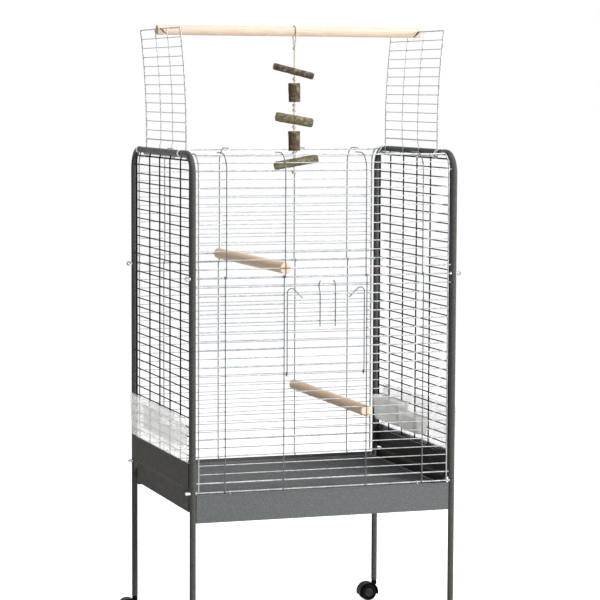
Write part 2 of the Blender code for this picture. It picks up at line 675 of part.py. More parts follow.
def roof_flap(name, side):
    """A wire flap that loops round its hinge rod and leans outward at the top."""
    rows = []
    for index in range(FLAP_ROWS):
        z = FLAP_FIRST_Z + index * FLAP_PITCH
        x = side * (FLAP_X + flare(z))
        radius = EDGE_RADIUS if index in FLAP_TIED_ROWS else ROW_RADIUS
        rows.append(([(x, -FLAP_RAIL_Y, z), (x, FLAP_RAIL_Y, z)], radius))
    rise = (FLAP_TOP_Z - FLARE_START_Z) / FLARE_STEPS
    heights = [FLARE_START_Z + rise * step for step in range(FLARE_STEPS + 1)]
    loop = arc((FLAP_HINGE_X, FLAP_HINGE_Z), FLAP_HOOK_RADIUS, -250.0, 250.0, 5)
    uprights = []
    for y in (-FLAP_RAIL_Y, FLAP_RAIL_Y):
        route = [(side * x, y, z) for x, z in loop]
        route += [(side * (FLAP_X + flare(z)), y, z) for z in heights]
        uprights.append((route, RAIL_RADIUS))
    for y in FLAP_UPRIGHTS_Y:
        route = [(side * x, y, z) for x, z in loop]
        route.append((side * FLAP_X, y, FLAP_FIRST_Z - FLAP_STEP[0]))
        route.append((side * (FLAP_X - LAYER), y, FLAP_FIRST_Z - FLAP_STEP[1]))
        route += [(side * (FLAP_X - LAYER + flare(z)), y, z) for z in heights]
        uprights.append((route, UPRIGHT_RADIUS))
    piece = add_piece(name, wires(rows), "zinc")
    combine(piece, wires(uprights), "UNION")
    return piece


def hinge_rod(name, side):
    """The rod under a top bar that a flap turns on."""
    x = side * FLAP_HINGE_X
    route = [(x, HINGE_ROD_Y[0], FLAP_HINGE_Z), (x, HINGE_ROD_Y[1], FLAP_HINGE_Z)]
    return add_piece(name, wires([(route, ROD_RADIUS)], sides=8), "zinc")


def hinge_clip(name, side, y):
    """A strap round a top bar and on round the hinge rod, open on its lower side."""
    grip = TUBE_RADIUS + 2 * FIT
    eye = ROD_RADIUS + 2 * FIT
    along = Vector((FLAP_HINGE_X - SIDE_X, FLAP_HINGE_Z - TOP_BAR_Z))
    lean = math.degrees(math.atan2(along.y, along.x)) + 360.0
    spread = math.degrees(math.acos((grip - eye) / along.length))
    profile = arc((SIDE_X, TOP_BAR_Z), grip, lean + spread, 360.0 - 2 * spread, 8)
    profile += arc((FLAP_HINGE_X, FLAP_HINGE_Z), eye, lean - spread, 2 * spread, 4)
    y_span = (y - CLIP_WIDTH / 2, y + CLIP_WIDTH / 2)
    return folded_sheet(name, profile, y_span, side, "zinc", thickness=CLIP_WALL, outward=False)


def top_perch():
    """The perch across the raised flaps, with a slanting notch near each end for a flap's wire."""
    half = TOP_PERCH_LENGTH / 2
    mesh = drum((-half, 0.0, TOP_PERCH_Z), (half, 0.0, TOP_PERCH_Z), TOP_PERCH_RADIUS, sides=20)
    piece = add_piece("top_perch", mesh, "beech")
    seat_x = FLAP_X + FLARE
    length = 4 * TOP_PERCH_RADIUS
    for side in (-1, 1):
        cutter = box((-length / 2, -length / 2, -NOTCH_WIDTH / 2), (length / 2, length / 2, NOTCH_WIDTH / 2))
        turn = Matrix.Rotation(-side * NOTCH_SLOPE, 4, "Y")
        reach = length / 2 - NOTCH_WIDTH / 2
        centre = (side * (seat_x - reach * math.cos(NOTCH_SLOPE)), 0.0,
                  FLAP_TOP_Z - reach * math.sin(NOTCH_SLOPE))
        cutter.transform(Matrix.Translation(centre) @ turn)
        combine(piece, cutter, "DIFFERENCE")
    return piece


def inner_perch(name, x, z, upright_x):
    """A perch between the grilles, slotted at both ends for the wires that carry it."""
    end = INNER_PERCH_END_Y
    mesh = drum((x, -end, z), (x, end, z), INNER_PERCH_RADIUS, sides=16)
    piece = add_piece(name, mesh, "beech")
    reach = INNER_PERCH_RADIUS + KERF_REACH
    first = math.ceil((z - INNER_PERCH_RADIUS - MIDDLE_ROD_Z) / ROW_PITCH)
    last = math.floor((z + INNER_PERCH_RADIUS - MIDDLE_ROD_Z) / ROW_PITCH)
    kerf = UPRIGHT_RADIUS + FIT
    row_kerf = EDGE_RADIUS + FIT
    depth = GRILLE_ROW_Y - EDGE_RADIUS - FIT
    for side in (-1, 1):
        inner, outer = sorted((side * depth, side * (end + KERF_REACH)))
        combine(piece, box((upright_x - kerf, inner, z - reach), (upright_x + kerf, outer, z + reach)),
                "DIFFERENCE")
        for index in range(first, last + 1):
            row_z = MIDDLE_ROD_Z + index * ROW_PITCH
            low = (x - reach, inner - FIT / 3, row_z - row_kerf)
            high = (x + reach, outer + FIT / 3, row_z + row_kerf)
            combine(piece, box(low, high), "DIFFERENCE")
    return piece


def side_skirt(name, side):
    """A skirt outside the posts, with its ends folded in against them."""
    low, high = SKIRT_Z
    shape = bmesh.new()
    outline = [
        (side * (SIDE_X - SKIRT_FOLD), -POST_FACE_Y),
        (side * (SKIRT_X + SHEET), -POST_FACE_Y),
        (side * (SKIRT_X + SHEET), POST_FACE_Y),
        (side * (SIDE_X - SKIRT_FOLD), POST_FACE_Y),
    ]
    knots = [[shape.verts.new((x, y, z)) for x, y in outline] for z in (low, high)]
    for index in range(3):
        shape.faces.new((knots[0][index], knots[0][index + 1], knots[1][index + 1], knots[1][index]))
    mesh = bpy.data.meshes.new(name)
    shape.to_mesh(mesh)
    shape.free()
    piece = add_piece(name, mesh, "hammered")
    solid = piece.modifiers.new("thickness", "SOLIDIFY")
    solid.thickness = SHEET
    solid.offset = -side
    solid.use_even_offset = True
    return piece


def runner_band(name, side):
    """The band under a skirt, folded in to carry the tray."""
    lap = SKIRT_X - FIT - SHEET
    profile = [
        (lap, SKIRT_Z[0] + BAND_LAP),
        (lap, SKIRT_Z[0] - BAND_SHOULDER[0]),
        (SIDE_X, SKIRT_Z[0] - BAND_SHOULDER[1]),
        (SIDE_X, BAND_RAIL_Z),
        (SIDE_X - BAND_RAIL_WIDTH, BAND_RAIL_Z),
    ]
    return folded_sheet(name, profile, (-BAND_Y, BAND_Y), side, "hammered")


def rear_apron():
    """The fixed sheet between the rear legs."""
    low, high = APRON_Z
    half = POST_FACE_X
    mesh = box((-half, POST_Y - SHEET / 2, low), (half, POST_Y + SHEET / 2, high))
    piece = add_piece("rear_apron", mesh, "hammered")
    lap = SHEET / 12
    lip = box((-half, POST_Y - APRON_LIP, low - SHEET), (half, POST_Y + SHEET / 2 - lap, low + lap))
    combine(piece, lip, "UNION")
    return piece


def tray():
    """The pull-out tray, with its high front sheet between the front legs."""
    floor = BAND_RAIL_Z + FIT
    outer = box((-TRAY_X, TRAY_FRONT_Y, floor), (TRAY_X, TRAY_REAR_Y, TRAY_RIM_Z))
    piece = add_piece("tray", outer, "hammered")
    low, high = APRON_Z
    face = TRAY_FRONT_Y - TRAY_SHEET
    lap = TRAY_SHEET / 16
    plate = box((-APRON_HALF_WIDTH, face, low), (APRON_HALF_WIDTH, TRAY_FRONT_Y + lap, high))
    combine(piece, plate, "UNION")
    inset = TRAY_SHEET
    hollow = box((-TRAY_X + inset, TRAY_FRONT_Y + inset, floor + inset),
                 (TRAY_X - inset, TRAY_REAR_Y - inset, TRAY_RIM_Z + inset))
    combine(piece, hollow, "DIFFERENCE")
    return piece


def floor_grille():
    """The grille that lies on the tray's rim: rows between two rails, over three ribs."""
    rows = []
    for index in range(FLOOR_ROWS):
        edge = index in (0, FLOOR_ROWS - 1)
        y = FLOOR_FRONT_Y + index * FLOOR_PITCH
        rows.append(([(-FLOOR_X, y, FLOOR_Z), (FLOOR_X, y, FLOOR_Z)], EDGE_RADIUS if edge else ROW_RADIUS))
    rails = []
    for x in (-FLOOR_X, FLOOR_X):
        start = (x, FLOOR_FRONT_Y - FLOOR_OVERHANG, FLOOR_Z)
        end = (x, FLOOR_LAST_Y + FLOOR_OVERHANG, FLOOR_Z)
        rails.append(([start, end], RAIL_RADIUS))
    for x in FLOOR_RIBS_X:
        start = (x, FLOOR_FRONT_Y - EDGE_RADIUS, FLOOR_Z - LAYER)
        end = (x, FLOOR_LAST_Y + EDGE_RADIUS, FLOOR_Z - LAYER)
        rails.append(([start, end], UPRIGHT_RADIUS))
    piece = add_piece("floor_grille", wires(rows), "hammered")
    combine(piece, wires(rails), "UNION")
    return piece


def seed_guard(name, side):
    """A clear guard that hooks over a skirt's edge and leans outward."""
    inner = SKIRT_X - FIT - GUARD_SHEET
    edge = SKIRT_Z[1] + FIT
    profile = [
        (GUARD_TOP_X - GUARD_SHEET, GUARD_TOP_Z),
        (SKIRT_X + SHEET, edge + 1.7 * GUARD_SHEET),
        (inner, edge + 1.2 * GUARD_SHEET),
        (inner, GUARD_FOOT_Z),
    ]
    return folded_sheet(name, profile, GUARD_Y, side, "clear", thickness=GUARD_SHEET)


def hook_wire_z(row):
    """Height of a mesh row, counted from the foot of the mesh."""
    return MESH_TOP_Z - (MESH_ROWS - row) * MESH_PITCH


def feeder_cup(name, side, y_span, hook_row, depth_below):
    """A clear open cup with two hooks over a wire of the side mesh."""
    wire_z = hook_wire_z(hook_row)
    floor_z = wire_z - depth_below
    back = SIDE_X - ROW_RADIUS - FIT
    seat = wire_z + ROW_RADIUS + FIT
    top = seat + CUP_HOOK_WALL
    shape = bmesh.new()
    bmesh.ops.create_cube(shape, size=1.0)
    for corner in shape.verts:
        high = corner.co.z > 0
        depth = CUP_MOUTH_DEPTH if high else CUP_FLOOR_DEPTH
        inset = 0.0 if high else CUP_TAPER
        toward = corner.co.x * side < 0
        corner.co.x = side * (back - depth if toward else back)
        corner.co.y = y_span[1] - inset if corner.co.y > 0 else y_span[0] + inset
        corner.co.z = top if high else floor_z
    upright_edges = [e for e in shape.edges if abs(e.verts[0].co.z - e.verts[1].co.z) > CUP_TAPER]
    bmesh.ops.bevel(shape, geom=upright_edges, offset=CUP_TAPER, segments=1, affect="EDGES")
    bmesh.ops.recalc_face_normals(shape, faces=shape.faces)
    lids = [f for f in shape.faces if f.normal.z > 0.9]
    bmesh.ops.delete(shape, geom=lids, context="FACES")
    mesh = bpy.data.meshes.new(name)
    shape.to_mesh(mesh)
    shape.free()
    piece = add_piece(name, mesh, "clear")
    solid = piece.modifiers.new("wall", "SOLIDIFY")
    solid.thickness = CUP_WALL
    solid.offset = -1.0
    inner = 2 * ROW_RADIUS + 4 * FIT
    outer = inner + CUP_WALL
    outline = [
        (-0.7 * CUP_WALL, seat),
        (inner, seat),
        (inner, wire_z - CUP_HOOK_DROP),
        (outer, wire_z - CUP_HOOK_DROP),
        (outer, top - 0.1 * CUP_HOOK_WALL),
        (-0.7 * CUP_WALL, top - 0.1 * CUP_HOOK_WALL),
    ]
    for y in (y_span[0] + CUP_HOOK_INSET, y_span[1] - CUP_HOOK_INSET):
        hook = prism(
            [(side * (back + x), z) for x, z in outline],
            (y - CUP_HOOK_WIDTH / 2, y + CUP_HOOK_WIDTH / 2),
        )
        combine(piece, hook, "UNION")
    return piece


def rail_hook(name, x):
    """A small wire hook on the front floor rod, whose tail rests over the apron's edge."""
    centre = (-POST_Y, FLOOR_ROD_Z)
    ring = arc(centre, ROD_RADIUS + RAIL_HOOK_RADIUS + 2 * FIT, -40.0, 290.0, 9)
    points = [(x, y, z) for y, z in ring]
    points.append((x, -POST_Y - RAIL_HOOK_REACH, APRON_Z[1] + 1.4 * RAIL_HOOK_RADIUS + FIT))
    return add_piece(name, wires([(points, RAIL_HOOK_RADIUS)], sides=6), "zinc")


def leg_plug(name, x, y):
    """A plug in a leg's end, bored for a caster's stem."""
    flange = TUBE_RADIUS
    shank = TUBE_BORE - 2 * FIT
    bore = STEM_RADIUS + 2 * FIT
    top = LEG_END_Z + PLUG_LENGTH
    seat = LEG_END_Z - FIT
    profile = [
        (bore, top),
        (shank, top),
        (shank, seat),
        (flange, seat),
        (flange, seat - PLUG_FLANGE),
        (bore, seat - PLUG_FLANGE),
    ]
    return turned(name, profile, "black_plastic", (x, y, 0.0), steps=8)


def caster_hood(name, x, y, turn):
    """A swivelling hood over a twin wheel, with the stem that turns in the leg's plug."""
    axle_x = x + turn * CASTER_TRAIL
    axle_z = WHEEL_RADIUS
    drum_ends = ((axle_x, y - HOOD_HALF_WIDTH, axle_z), (axle_x, y + HOOD_HALF_WIDTH, axle_z))
    piece = add_piece(name, drum(*drum_ends, HOOD_RADIUS, sides=16), "black_plastic")
    boss_top = LEG_END_Z - 2 * FIT - PLUG_FLANGE
    combine(piece, drum((x, y, axle_z), (x, y, boss_top), BOSS_RADIUS, sides=12), "UNION")
    combine(piece, drum((x, y, axle_z + FIT), (x, y, STEM_TOP_Z), STEM_RADIUS, sides=8), "UNION")
    for side in (-1, 1):
        start = (axle_x, y + side * WEB_HALF, axle_z)
        end = (axle_x, y + side * 2 * HOOD_HALF_WIDTH, axle_z)
        combine(piece, drum(start, end, HOOD_RADIUS - HOOD_WALL, sides=16), "DIFFERENCE")
    reach = HOOD_RADIUS + WHEEL_RADIUS
    low = (axle_x - reach, y - reach, -reach)
    high = (axle_x + reach, y + reach, HOOD_FOOT_Z)
    combine(piece, box(low, high), "DIFFERENCE")
    web = 2 * WEB_HALF
    ends = ((axle_x, y - web, axle_z), (axle_x, y + web, axle_z))
    hole = drum(*ends, AXLE_HOLE_RADIUS, sides=12)
    combine(piece, hole, "DIFFERENCE")
    return piece


def twin_wheel(name, x, y, turn):
    """Two wheels on one axle, either side of the hood's web."""
    inner = WEB_HALF + FIT
    profile = [
        (0.0, WHEEL_HALF_WIDTH),
        (WHEEL_RADIUS - 2 * WHEEL_CHAMFER, WHEEL_HALF_WIDTH),
        (WHEEL_RADIUS, WHEEL_HALF_WIDTH - WHEEL_CHAMFER),
        (WHEEL_RADIUS, inner),
        (AXLE_RADIUS, inner),
        (AXLE_RADIUS, -inner),
        (WHEEL_RADIUS, -inner),
        (WHEEL_RADIUS, -WHEEL_HALF_WIDTH + WHEEL_CHAMFER),
        (WHEEL_RADIUS - 2 * WHEEL_CHAMFER, -WHEEL_HALF_WIDTH),
        (0.0, -WHEEL_HALF_WIDTH),
    ]
    pivot = (x + turn * CASTER_TRAIL, y, WHEEL_RADIUS)
    return turned(name, profile, "black_plastic", pivot, axis="Y", steps=12)


def toy_rope():
    """The rope: a loop over the top perch, then one strand through every toy piece."""
    centre = (0.0, TOP_PERCH_Z)
    loop = arc(centre, ROPE_LOOP_RADIUS, -25.0, 230.0, 9)
    neck_z = TOP_PERCH_Z - ROPE_NECK_DROP + ROPE_NECK_HALF
    end_z = TOP_PERCH_Z - ROPE_LENGTH
    route = [(TOY_X, ROPE_NECK_HALF, neck_z)]
    route += [(TOY_X, y, z) for y, z in loop]
    route.append((TOY_X, -ROPE_NECK_HALF, neck_z))
    strand = [(TOY_X, 0.0, neck_z + ROPE_NECK_HALF), (TOY_X, 0.0, end_z)]
    piece = add_piece("toy_rope", wires([(route, ROPE_RADIUS)], sides=6), "rope")
    combine(piece, wires([(strand, ROPE_RADIUS + FIT / 3)], sides=6), "UNION")
    foot = end_z + KNOT_HEIGHT / 10
    knot = drum((TOY_X, 0.0, foot), (TOY_X, 0.0, foot + KNOT_HEIGHT), KNOT_RADIUS, sides=10)
    combine(piece, knot, "UNION")
    return piece


def toy_piece(name, first, second, radius):
    """A stick or log of the toy, drilled for the rope."""
    start = (first[0], 0.0, TOP_PERCH_Z - first[1])
    end = (second[0], 0.0, TOP_PERCH_Z - second[1])
    piece = add_piece(name, drum(start, end, radius, sides=10), "bark")
    share = (TOY_X - first[0]) / (second[0] - first[0])
    level = start[2] + (end[2] - start[2]) * share
    reach = abs(second[1] - first[1]) / 2 + 3 * radius
    hole = drum((TOY_X, 0.0, level - reach), (TOY_X, 0.0, level + reach), ROPE_RADIUS + 2 * FIT, sides=8)
    combine(piece, hole, "DIFFERENCE")
    return piece


for old in list(bpy.data.objects):
    bpy.data.objects.remove(old)

parts = new_collection("aviary")
tools = new_collection("cutters")

SIDES = (("left", -1), ("right", 1))
ENDS = (("front", -1), ("rear", 1))

for word, hand in SIDES:
    side_frame(f"{word}_side_frame", hand)
    side_mesh(f"{word}_side_mesh", hand)
    side_skirt(f"{word}_skirt", hand)
    runner_band(f"{word}_runner_band", hand)
    seed_guard(f"{word}_seed_guard", hand)
    roof_flap(f"{word}_roof_flap", hand)
    hinge_rod(f"{word}_hinge_rod", hand)
    for place, clip_y in zip(("front", "rear"), CLIPS_Y):
        hinge_clip(f"{word}_{place}_clip", hand, clip_y)
    for place, y_span, hook_row, depth_below in CUPS:
        cup = feeder_cup(f"{word}_{place}_cup", hand, y_span, hook_row, depth_below)
        pivot = (hand * SIDE_X, sum(y_span) / 2, hook_wire_z(hook_row))
        hang_on_axis(f"{cup.name}_axis", pivot, (cup.name,))

for word, hand in ENDS:
    middle_tie_rod(f"{word}_middle_rod", hand * POST_Y)
    floor_tie_rod(f"{word}_floor_rod", hand * POST_Y)
    lower_grille(f"{word}_lower_grille", hand, has_door=hand < 0)
    upper_grille(f"{word}_upper_grille", hand)

front_door()
top_perch()
inner_perch("upper_perch", UPPER_PERCH_X, UPPER_PERCH_Z, UPPER_PERCH_X)
inner_perch("lower_perch", LOWER_PERCH_X, LOWER_PERCH_Z, LOWER_PERCH_X)
rear_apron()
tray()
floor_grille()
for word, hand in SIDES:
    rail_hook(f"{word}_rail_hook", hand * RAIL_HOOK_X)
toy_rope()
for toy in TOY_PIECES:
    toy_piece(*toy)

for end_word, end_hand in ENDS:
    for side_word, side_hand in SIDES:
        corner_x = side_hand * SIDE_X
        corner_y = end_hand * POST_Y
        label = f"{end_word}_{side_word}"
        leg_plug(f"{label}_plug", corner_x, corner_y)
        turn = CASTER_TURNS[label]
        caster_hood(f"{label}_caster", corner_x, corner_y, turn)
        twin_wheel(f"{label}_wheels", corner_x, corner_y, turn)
        hang_on_axis(f"{label}_swivel_axis", (corner_x, corner_y, LEG_END_Z), (f"{label}_caster",))

for label, pivot, names in JOINT_AXES:
    hang_on_axis(label, pivot, names)
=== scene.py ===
"""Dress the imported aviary: round welded wires, hammered sheets, clear plastic, wood and rope.

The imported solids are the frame. Wire panels, perches, cups, casters and the toy get pieces of
their own in the same places; the sheet parts keep their solids and get rounded edges.
All lengths are in metres, +Z is up and the door looks to -Y.
"""

import logging
from collections.abc import Iterable, Mapping, Sequence
from dataclasses import dataclass
from enum import Enum
from math import acos, asin, atan2, ceil, cos, degrees, floor, radians, sin, sqrt, tau

import bmesh
import bpy
from bpy.types import Material, Mesh, NodeSocket, NodeTree, Object
from mathutils import Matrix, Vector, noise


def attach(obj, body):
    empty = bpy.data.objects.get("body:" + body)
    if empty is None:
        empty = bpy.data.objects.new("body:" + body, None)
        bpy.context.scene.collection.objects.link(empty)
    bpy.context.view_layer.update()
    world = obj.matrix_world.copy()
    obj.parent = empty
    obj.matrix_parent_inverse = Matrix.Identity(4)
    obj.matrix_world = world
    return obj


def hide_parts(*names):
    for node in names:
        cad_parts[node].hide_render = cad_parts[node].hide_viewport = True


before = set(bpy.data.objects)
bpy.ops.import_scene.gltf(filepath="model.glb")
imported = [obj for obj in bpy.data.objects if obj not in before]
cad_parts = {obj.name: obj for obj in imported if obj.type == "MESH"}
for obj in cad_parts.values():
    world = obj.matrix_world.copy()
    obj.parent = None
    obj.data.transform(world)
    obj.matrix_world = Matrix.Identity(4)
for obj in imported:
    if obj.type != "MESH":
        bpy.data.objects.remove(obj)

log = logging.getLogger("aviary")

Triple = tuple[float, float, float]
Pair = tuple[float, float]
Route = Sequence[Sequence[float]]

SHARP_ANGLE = radians(38.0)
SOLID_EDGE = 0.0005
ORIGIN = (0.0, 0.0, 0.0)
UP = Vector((0.0, 0.0, 1.0))
WHITE = (1.0, 1.0, 1.0, 1.0)
# Half the side of a square that has the area of a circle with radius 1.
SQUARE_HALF = 0.8862


class Side(int, Enum):
    """A side of the cage, with the sign of its axis."""

    @property
    def word(self) -> str:
        """Return the side's name as the solids use it."""
        return self.name.lower()


class Hand(Side):
    """Left and right, along X."""

    LEFT = -1
    RIGHT = 1


class End(Side):
    """Front and rear, along Y."""

    FRONT = -1
    REAR = 1


class Axis(int, Enum):
    """The three axes, by their place in a point."""

    X = 0
    Y = 1
    Z = 2


class Gauge(float, Enum):
    """Wire radii in use on the cage."""

    HOOK = 0.0011
    ROW = 0.00125
    UPRIGHT = 0.0015
    EDGE = 0.0019
    ROD = 0.0020
    RAIL = 0.0022


@dataclass(frozen=True)
class CageSizes:
    """Driving sizes that several sub-assemblies share."""

    side_x: float = 0.375
    post_y: float = 0.300
    tube_radius: float = 0.0085
    leg_end_z: float = 0.059
    top_bar_z: float = 1.3695
    corner_radius: float = 0.057
    middle_rod_z: float = 1.038
    floor_rod_z: float = 0.4605
    rod_end_x: float = 0.3870
    row_pitch: float = 0.024
    mesh_pitch: float = 0.0256
    mesh_top_z: float = 1.352
    apron_top_z: float = 0.4545
    sheet: float = 0.0012
    fit: float = 0.0003
    layer: float = 0.002737
    rod_hook_radius: float = 0.0042
    flap_hinge_x: float = 0.35945
    flap_hinge_z: float = 1.358
    top_perch_radius: float = 0.0135
    top_perch_z: float = 1.704

    @property
    def upright_y(self) -> float:
        """Return how far out the grilles' inner uprights stand."""
        return self.post_y + self.rod_hook_radius

    @property
    def row_y(self) -> float:
        """Return how far out the grilles' rows lie."""
        return self.upright_y - self.layer

    @property
    def post_face_x(self) -> float:
        """Return how far a piece reaches between the posts of the two sides."""
        return self.side_x - self.tube_radius - self.fit

    def row_z(self, rows: float) -> float:
        """Return the height of a grille row, counted upward from the middle rod."""
        return self.middle_rod_z + rows * self.row_pitch


CAGE = CageSizes()


def linear(code: str) -> tuple[float, ...]:
    """Turn a six-digit sRGB code such as "#4f4e4a" into a linear colour with an alpha of one."""
    shares = [int(code[place : place + 2], 16) / 255.0 for place in (1, 3, 5)]
    return *(s / 12.92 if s <= 0.04045 else ((s + 0.055) / 1.055) ** 2.4 for s in shares), 1.0


class Nodes:
    """A node tree that is being filled."""

    def __init__(self, tree: NodeTree) -> None:
        """Keep the tree."""
        self.tree = tree

    def feed(self, socket: NodeSocket, value: object) -> None:
        """Link another socket to a socket, or set it to a plain value."""
        if isinstance(value, NodeSocket):
            self.tree.links.new(value, socket)
        else:
            socket.default_value = value

    def add(self, kind: str, output: str, inputs: Mapping[str | int, object], **modes: str) -> NodeSocket:
        """Add a node.

        Args:
            kind: The node's type without its prefix.
            output: Name of the output that is wanted.
            inputs: A socket or a plain value for each input that is used.
            modes: The node's own settings.

        Returns:
            The wanted output.
        """
        node = self.tree.nodes.new(f"ShaderNode{kind}")
        for mode, value in modes.items():
            setattr(node, mode, value)
        for name, value in inputs.items():
            self.feed(node.inputs[name], value)
        return node.outputs[output]

    def by_ray(self, lit: float, seen: float) -> NodeSocket:
        """Give one level to light and another to what is seen, mirrored or seen through.

        Args:
            lit: Level for rays that light the scene.
            seen: Level for camera, glossy and transmission rays.

        Returns:
            The level for the ray at hand.
        """
        either = self.add("LightPath", "Is Camera Ray", {})
        kinds = either.node.outputs
        for kind in ("Is Glossy Ray", "Is Transmission Ray"):
            either = self.add("Math", "Value", {0: either, 1: kinds[kind]}, operation="MAXIMUM")
        return self.add("MapRange", "Result", {"Value": either, "To Min": lit, "To Max": seen})


class Shading(Nodes):
    """A material in the making, with a Principled shader at its end."""

    def __init__(self, name: str) -> None:
        """Make the material and find its shader."""
        self.material = bpy.data.materials.new(name)
        self.material.use_nodes = True
        super().__init__(self.material.node_tree)
        self.shader = self.tree.nodes["Principled BSDF"]
        self.place = self.add("TexCoord", "Object", {})

    def set(self, values: Mapping[str, object]) -> None:
        """Set or link some of the shader's own sockets."""
        for name, value in values.items():
            self.feed(self.shader.inputs[name], value)

    def cloud(self, scale: float, detail: float = 3.0, stretch: Triple = (1, 1, 1)) -> NodeSocket:
        """Add noise with so many features in a metre, its coordinates scaled along each axis."""
        place = self.add("Mapping", "Vector", {"Vector": self.place, "Scale": stretch})
        return self.add("TexNoise", "Fac", {"Scale": scale, "Detail": detail, "Vector": place})

    def cells(self, scale: float) -> NodeSocket:
        """Add soft cells, as hammered paint has, so many in a metre."""
        inputs = {"Scale": scale, "Smoothness": 0.6, "Vector": self.place}
        return self.add("TexVoronoi", "Distance", inputs, feature="SMOOTH_F1")

    def rings(self, axis: Axis, scale: float, ripple: float) -> NodeSocket:
        """Add rippled growth rings, so many in a metre, round an axis through the piece's origin."""
        inputs = {"Scale": scale, "Distortion": ripple, "Detail Scale": 2.0, "Vector": self.place}
        return self.add("TexWave", "Fac", inputs, wave_type="RINGS", rings_direction=axis.name)

    def tint(self, value: NodeSocket, dark: str, light: str, span: Pair = (0.3, 0.7)) -> None:
        """Colour the shader by a value.

        Args:
            value: The value that picks the colour.
            dark: Colour code at the low end.
            light: Colour code at the high end.
            span: Values at which the two colours stand.
        """
        ramp = self.add("ValToRGB", "Color", {"Fac": value})
        for element, code, position in zip(ramp.node.color_ramp.elements, (dark, light), span):
            element.position = position
            element.color = linear(code)
        self.set({"Base Color": ramp})

    def polish(self, value: NodeSocket, low: float, high: float) -> None:
        """Vary the roughness between two levels by a value."""
        spread = {"Value": value, "From Min": 0.3, "From Max": 0.7, "To Min": low, "To Max": high}
        self.set({"Roughness": self.add("MapRange", "Result", spread)})

    def relief(self, height: NodeSocket, depth: float) -> None:
        """Raise the surface by a height of 0 to 1, on top of any relief it already has.

        Args:
            height: The height.
            depth: Metres between heights 0 and 1.
        """
        inputs = {"Distance": depth, "Strength": 1.0, "Height": height}
        for link in self.shader.inputs["Normal"].links:
            inputs["Normal"] = link.from_socket
        self.set({"Normal": self.add("Bump", "Normal", inputs)})


@dataclass(frozen=True)
class Finish:
    """A finish that pieces wear; each kind adds its own nodes in dress()."""

    name: str
    dark: str
    light: str
    roughness: float
    metallic: float = 0.0

    def material(self) -> Material:
        """Find the finish's material, or make it the first time.

        Returns:
            A material named after the finish.
        """
        found = bpy.data.materials.get(self.name)
        if found is not None:
            return found
        shading = Shading(self.name)
        plain = linear(self.light)
        shading.set({"Base Color": plain, "Roughness": self.roughness, "Metallic": self.metallic})
        shading.material.diffuse_color = plain
        self.dress(shading)
        return shading.material

    def dress(self, shading: Shading) -> None:
        """Leave the finish plain."""


@dataclass(frozen=True)
class PowderCoat(Finish):
    """Baked powder paint with a fine orange peel and pale flecks."""

    peel: float = 0.00006

    def dress(self, shading: Shading) -> None:
        """Add flecks, uneven gloss and orange peel."""
        shading.tint(shading.cloud(420.0, 5.0), self.dark, self.light, (0.30, 0.75))
        shading.polish(shading.cloud(35.0), self.roughness - 0.06, self.roughness + 0.08)
        shading.relief(shading.cloud(520.0, 2.0), self.peel)
        shading.set({"Specular IOR Level": 0.05})


@dataclass(frozen=True)
class HammeredPaint(Finish):
    """Hammered paint: soft dimples a few millimetres across with lighter rims."""

    cell: float = 420.0
    depth: float = 0.0001
    gloss: float = 0.12

    def dress(self, shading: Shading) -> None:
        """Add the dimples, their lighter rims and a little metal dust."""
        cells = shading.cells(self.cell)
        shading.tint(cells, self.dark, self.light, (0.15, 0.75))
        shading.polish(shading.cloud(60.0), self.roughness - 0.05, self.roughness + 0.08)
        shading.relief(cells, self.depth)
        shading.relief(shading.cloud(1100.0, 2.0), 0.00002)
        shading.set({"Specular IOR Level": self.gloss})


@dataclass(frozen=True)
class ZincPlate(Finish):
    """Bright zinc on drawn wire, faintly clouded."""

    def dress(self, shading: Shading) -> None:
        """Add clouded colour, uneven gloss and drawing marks."""
        shading.tint(shading.cloud(90.0, 4.0), self.dark, self.light)
        shading.polish(shading.cloud(240.0), self.roughness - 0.06, self.roughness + 0.10)
        shading.relief(shading.cloud(900.0, 2.0), 0.00001)


@dataclass(frozen=True)
class TurnedWood(Finish):
    """Plain turned wood whose grain runs along one axis of the piece."""

    axis: Axis = Axis.Y

    def dress(self, shading: Shading) -> None:
        """Add grain lines, pores and growth rings."""
        along = tuple(0.05 if axis is self.axis else 1.0 for axis in Axis)
        grain = shading.cloud(330.0, 6.0, along)
        shading.tint(grain, self.dark, self.light, (0.32, 0.62))
        shading.polish(grain, self.roughness - 0.05, self.roughness + 0.08)
        shading.relief(shading.cloud(1400.0, 3.0, along), 0.00008)
        shading.relief(shading.rings(self.axis, 90.0, 2.5), 0.00003)


@dataclass(frozen=True)
class CutEnd(Finish):
    """The sawn end of a round piece of wood, with growth rings."""

    axis: Axis = Axis.Y

    def dress(self, shading: Shading) -> None:
        """Colour the end by its rings and roughen it by the saw."""
        shading.tint(shading.rings(self.axis, 150.0, 3.0), self.dark, self.light, (0.1, 0.8))
        shading.relief(shading.cloud(1600.0), 0.00015)


@dataclass(frozen=True)
class Bark(Finish):
    """Rough bark with lichen-pale patches and deep furrows along the branch."""

    patch: str = "#8a8166"
    along: Triple = (0.25, 1.0, 1.0)

    def dress(self, shading: Shading) -> None:
        """Mix furrowed bark with paler patches and raise both."""
        furrows = shading.cloud(420.0, 8.0, self.along)
        shading.tint(furrows, self.dark, self.light, (0.36, 0.66))
        spread = {"Value": shading.cloud(75.0, 5.0), "From Min": 0.52, "From Max": 0.66}
        colours = {
            "Factor": shading.add("MapRange", "Result", spread),
            "A": shading.shader.inputs["Base Color"].links[0].from_socket,
            "B": linear(self.patch),
        }
        shading.set({"Base Color": shading.add("Mix", "Result", colours, data_type="RGBA")})
        shading.relief(furrows, 0.0012)
        shading.relief(shading.cloud(1500.0, 4.0), 0.0003)


